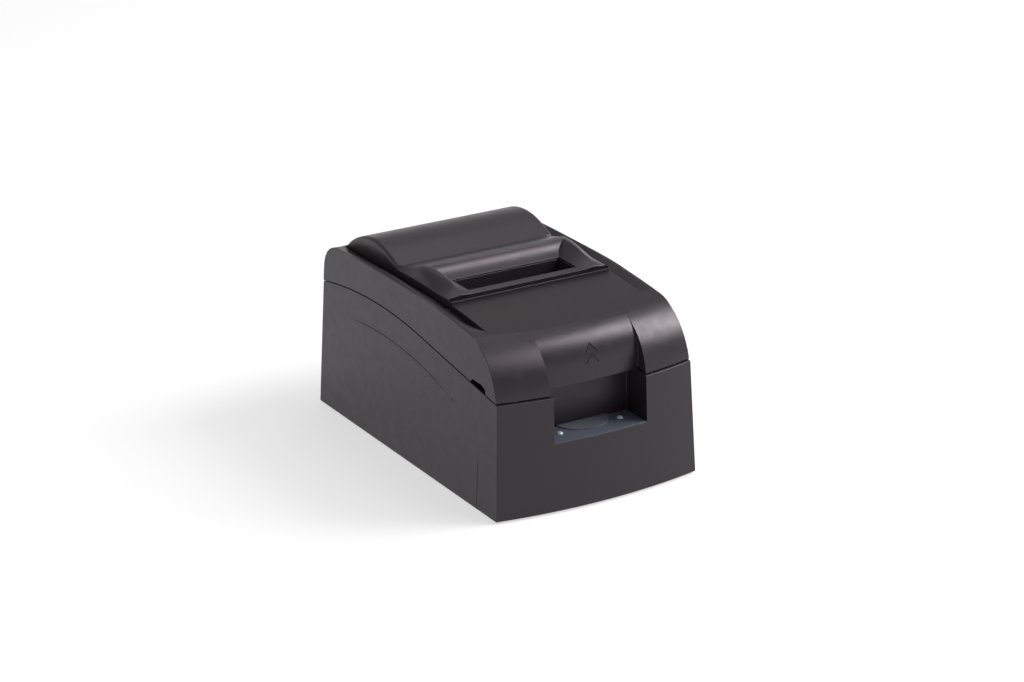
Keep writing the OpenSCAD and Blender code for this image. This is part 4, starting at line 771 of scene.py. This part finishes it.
def lid_skin():
    """The roll cover's outer face as an open sheet: tail, hump, slope, collar, funnel and front."""
    bm = bmesh.new()
    rows = []
    for y, z in TAIL_ROWS:
        rows.append(hump_row(y, z, (0, 1), FLAT_EDGE, LID_TAIL_FOOT))
    for a in spread(HUMP_LOW, HUMP_HIGH, 22):
        part = max(0.0, min(1.0, (a - HUMP_LOW) / HUMP_TURN))
        edge = TAIL_EDGE + (HUMP_EDGE - TAIL_EDGE) * part * part * (3 - 2 * part)
        n = (math.cos(math.radians(a)), math.sin(math.radians(a)))
        y = HUMP_Y + HUMP_R * n[0]
        rows.append(hump_row(y, HUMP_Z + HUMP_R * n[1], n, edge, LID_FOOT if y < LID_TAIL_Y else LID_TAIL_FOOT))
    slope = math.atan2(KNEE_Z - CREASE_Z, KNEE_Y - CREASE_Y)
    for y, edge in SLOPE_ROWS:
        z = KNEE_Z - (KNEE_Y - y) * math.tan(slope)
        rows.append(hump_row(y, z, (-math.sin(slope), math.cos(slope)), edge, LID_FOOT))
    for y in (CREASE_Y, 31.5, 25.5, 19.5, RIDGE_Y, RIDGE_END):
        z = collar(y)
        if y > RIDGE_Y:
            z = CREASE_Z + (collar(RIDGE_Y) - CREASE_Z) * (CREASE_Y - y) / (CREASE_Y - RIDGE_Y)
        rows.append([(RIDGE_X * f, y, z) for f in spread(0, 1, 5)] + outer_columns(y, z)[1:])
    lofted(bm, rows)
    wall = []
    for t in spread(0, 1, 8):
        y = (1 - t) ** 2 * SLOT_Y1 + 2 * t * (1 - t) * FUNNEL_Y + t * t * RIDGE_END
        z = (1 - t) ** 2 * SLOT_Z + 2 * t * (1 - t) * FUNNEL_Z + t * t * TOP_Z
        wall.append((y, z))
    lofted(bm, [[(funnel_x(y, z) * f, y, z) for f in spread(0, 1, 5)] for y, z in wall])
    arms = []
    feet = [(y, SLOT_Z) for y in (ARM_Y, STRIP_Y, SLOT_Y0, -19, -14, -9, -5)] + wall
    for y, z in feet:
        high = ridge(y)
        side = [(funnel_x(y, z + (high - z) * f), y, z + (high - z) * f) for f in spread(0, 1, 4)[:-1]]
        arms.append(side + outer_columns(y, high))
    lofted(bm, arms)
    strip = [[(SLOT_X * f, y, SLOT_Z) for f in spread(0, 1, 5)] for y in (ARM_Y, STRIP_Y, SLOT_Y0)]
    lofted(bm, strip)
    # The seat of the tear bar and the front, under the strip's brink.
    brink = strip[0] + arms[0][1:]
    seat = [(x, y, min(z, SEAT_Z)) for x, y, z in brink]
    front = [(x, LID_Y0, z) for x, y, z in seat]
    lofted(bm, [brink, seat, front, [(x, LID_Y0, LID_FOOT) for x, y, z in front]])
    mirrored(bm)
    outward(bm)
    return mesh_object("roll_cover_shell", bm)


def build_lid():
    """The roll cover: its sheet walled, cut for the cover's ears, and given its knuckles and throat."""
    cuts, extra = bmesh.new(), bmesh.new()
    for side in (-1, 1):
        for ear in (-1, 1):
            x = side * LID_HINGE_X + ear * LID_EAR_X
            solid_bar(cuts, LID_GAP_R, x - LID_GAP_W, x + LID_GAP_W, LID_HINGE_Y, LID_HINGE_Z)
        x = side * LID_HINGE_X
        x0, x1 = x - LID_KNUCKLE_W, x + LID_KNUCKLE_W
        solid_bar(extra, LID_EAR_R, x0, x1, LID_HINGE_Y, LID_HINGE_Z, LID_ROUND_SIDES)
        solid_block(extra, x0, x1, LID_ROOT_Y, LID_HINGE_Y, LID_ROOT_Z0, LID_ROOT_Z1)
        x0, x1 = sorted((side * SLOT_X, side * (SLOT_X + THROAT_WALL)))
        solid_block(extra, x0, x1, SLOT_Y0, SLOT_Y1 + THROAT_WALL, THROAT_Z, SLOT_Z - 1)
    solid_block(extra, -SLOT_X, SLOT_X, SLOT_Y1, SLOT_Y1 + THROAT_WALL, THROAT_Z, SLOT_Z - 1)
    shell = settled(lid_skin(), mesh_object("lid_cuts", cuts), extra, LID_WALL)
    finished(shell, "lid_plastic", "roll_cover", "roll_cover")


build_lid()

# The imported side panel: the arc over it, its front and rear edge, and how deep it is sunk.
RELIEF_Y, RELIEF_Z, RELIEF_R, RELIEF_FRONT, RELIEF_REAR, RELIEF_DEPTH = 38.0, -241.0, 322.0, -93.0, 116.0, 0.45
# The fine lines that are drawn in its place, which run out over LINE_RUN steps at their ends.
LINE_WIDTH, LINE_DEPTH, LINE_RUN = 0.5, 0.4, 12
ARC_Y0, ARC_Y1, ARC_STEPS, RISE_Z0, RISE_Z1, RISE_STEPS, RISE_RUN = -58, 88, 60, 4, 42, 12, 4


def wall_strip(bm, inner, outer, sunk, proud):
    """A band between two rows of (y, z) points, from sunk inside the side wall to proud of it, on both sides."""
    for side in (-1, 1):
        rings = []
        for a, b in zip(inner, outer):
            rings.append([bm.verts.new((side * (half_width(z) + out) * MM, y * MM, z * MM))
                          for (y, z), out in ((a, -sunk), (b, -sunk), (b, proud), (a, proud))])
        for a, b in zip(rings, rings[1:]):
            for i in range(4):
                bm.faces.new((a[i], a[(i + 1) % 4], b[(i + 1) % 4], b[i]))
        bm.faces.new(rings[0][::-1])
        bm.faces.new(rings[-1])


def relief_arc(y, drop=0.0):
    """A point on the arc over the side panel, or below it by drop."""
    return y, RELIEF_Z + math.sqrt((RELIEF_R - drop) ** 2 - (y - RELIEF_Y) ** 2)


def build_case():
    """The case with its side panels drawn as fine lines: the arc and the line at the front."""
    source = bmesh.new()
    source.from_mesh(frame["nodes"]["lower_case"].data)
    bmesh.ops.remove_doubles(source, verts=source.verts, dist=WELD)
    bmesh.ops.dissolve_limit(source, angle_limit=math.radians(FLAT_DEG), verts=source.verts, edges=source.edges)
    fills, cuts = bmesh.new(), bmesh.new()
    # The sunk panel is filled flush, with a little overlap.
    along = spread(RELIEF_FRONT - 0.1, RELIEF_REAR + 0.1, 48)
    wall_strip(fills, [(y, WALL_FOOT_Z) for y in along], [relief_arc(y, -0.1) for y in along], RELIEF_DEPTH + 0.2, 0)
    arc = spread(ARC_Y0, ARC_Y1, ARC_STEPS)
    widths = [LINE_WIDTH * min(1, (i + 0.3) / LINE_RUN, (ARC_STEPS + 0.3 - i) / LINE_RUN) for i in range(len(arc))]
    wall_strip(cuts, [relief_arc(y, width) for y, width in zip(arc, widths)], [relief_arc(y) for y in arc],
               LINE_DEPTH, 1.0)
    rise = spread(RISE_Z0, RISE_Z1, RISE_STEPS)
    widths = [LINE_WIDTH * min(1, (RISE_STEPS + 0.3 - i) / RISE_RUN) for i in range(len(rise))]
    wall_strip(cuts, [(RELIEF_FRONT, z) for z in rise],
               [(RELIEF_FRONT + width, z) for z, width in zip(rise, widths)], LINE_DEPTH, 1.0)
    for helper in (fills, cuts):
        bmesh.ops.recalc_face_normals(helper, faces=helper.faces)
    shell = settled(mesh_object("lower_case_shell", source), mesh_object("case_cuts", cuts),
                    filler=mesh_object("case_fills", fills))
    finished(shell, "case_plastic", "base", "lower_case")


build_case()

# ---------- floor, light and camera ----------

bpy.ops.mesh.primitive_plane_add(size=9, location=(0, 1.0, 0))
floor = bpy.context.object
floor.name = "studio_floor"
paper, _, paper_shader, _ = node_tree("studio_paper")
# A pale paper that glows a little, so that the shadow on it stays as light as in the photo.
PAPER_GREY, PAPER_GLOW = 0.42, 0.57
paper_shader.inputs["Base Color"].default_value = (PAPER_GREY, PAPER_GREY, PAPER_GREY, 1)
paper_shader.inputs["Roughness"].default_value = 0.9
paper_shader.inputs["Specular IOR Level"].default_value = 0.1
paper_shader.inputs["Emission Color"].default_value = (1, 1, 1, 1)
paper_shader.inputs["Emission Strength"].default_value = PAPER_GLOW
floor.data.materials.append(paper)

world = bpy.data.worlds.new("studio")
bpy.context.scene.world = world
world.use_nodes = True
# A pale sweep stands behind the table: bright at the horizon, and darker from a third of the way up.
SWEEP_LOW, SWEEP_HIGH, SWEEP_BRIGHT, SWEEP_DIM = 0.05, 0.34, 0.95, 0.39
sky = world.node_tree
direction = sky.nodes.new("ShaderNodeTexCoord")
height = sky.nodes.new("ShaderNodeSeparateXYZ")
sky.links.new(direction.outputs["Generated"], height.inputs["Vector"])
sweep = sky.nodes.new("ShaderNodeMapRange")
sweep.interpolation_type = "SMOOTHSTEP"
sweep.inputs["From Min"].default_value = SWEEP_LOW
sweep.inputs["From Max"].default_value = SWEEP_HIGH
sweep.inputs["To Min"].default_value = SWEEP_BRIGHT
sweep.inputs["To Max"].default_value = SWEEP_DIM
sky.links.new(height.outputs["Z"], sweep.inputs["Value"])
sky.links.new(sweep.outputs["Result"], sky.nodes["Background"].inputs["Strength"])
sky.nodes["Background"].inputs["Color"].default_value = (1, 1, 1, 1)

# What the lamps are turned to, in metres.
CENTRE = Vector((0, 0, 0.07))


def softbox(name, offset, size, power):
    """A square area lamp in watts, set off from the printer's centre in metres and turned to it."""
    data = bpy.data.lights.new(name, "AREA")
    data.shape = "RECTANGLE"
    data.size = data.size_y = size
    data.energy = power
    lamp = bpy.data.objects.new(name, data)
    bpy.context.scene.collection.objects.link(lamp)
    lamp.location = CENTRE + offset
    lamp.rotation_euler = (CENTRE - lamp.location).to_track_quat("-Z", "Y").to_euler()


softbox("key_box", Vector((0.70, -0.29, 0.65)) * 3, 1.4, 84)
softbox("front_box", Vector((0.37, -0.47, 0.80)) * 3, 1.1, 14)
softbox("top_box", Vector((0.3, 0.6, 2.0)), 1.6, 7)

# The camera that was fitted to the photo: its angles in degrees, and its place from AIM_Z on the axis, in
# millimetres back, to the right and up.
CAMERA_ANGLES = (-31.3597, 21.4914, -0.1665)
AIM_Z, CAMERA_BACK, CAMERA_RIGHT, CAMERA_UP = 60, 2016.50, 4.8185, 11.6987
SENSOR_MM, LENS_MM, FAR_M = 36, 103.147, 50
azimuth, elevation, roll = (math.radians(a) for a in CAMERA_ANGLES)
back = Vector((math.sin(azimuth) * math.cos(elevation), -math.cos(azimuth) * math.cos(elevation),
               math.sin(elevation)))
right = Vector((math.cos(azimuth), math.sin(azimuth), 0))
up = back.cross(right)
turned_right = right * math.cos(roll) + up * math.sin(roll)
turned_up = up * math.cos(roll) - right * math.sin(roll)
eye = Vector((0, 0, AIM_Z)) + back * CAMERA_BACK + turned_right * CAMERA_RIGHT + turned_up * CAMERA_UP
camera_data = bpy.data.cameras.new("camera")
camera_data.sensor_width = SENSOR_MM
camera_data.lens = LENS_MM
camera_data.clip_end = FAR_M
camera = bpy.data.objects.new("camera", camera_data)
bpy.context.scene.collection.objects.link(camera)
camera.matrix_world = Matrix.Translation(eye * MM) @ Matrix((turned_right, turned_up, back)).transposed().to_4x4()
bpy.context.scene.camera = camera
bpy.context.scene.view_settings.view_transform = "Standard"
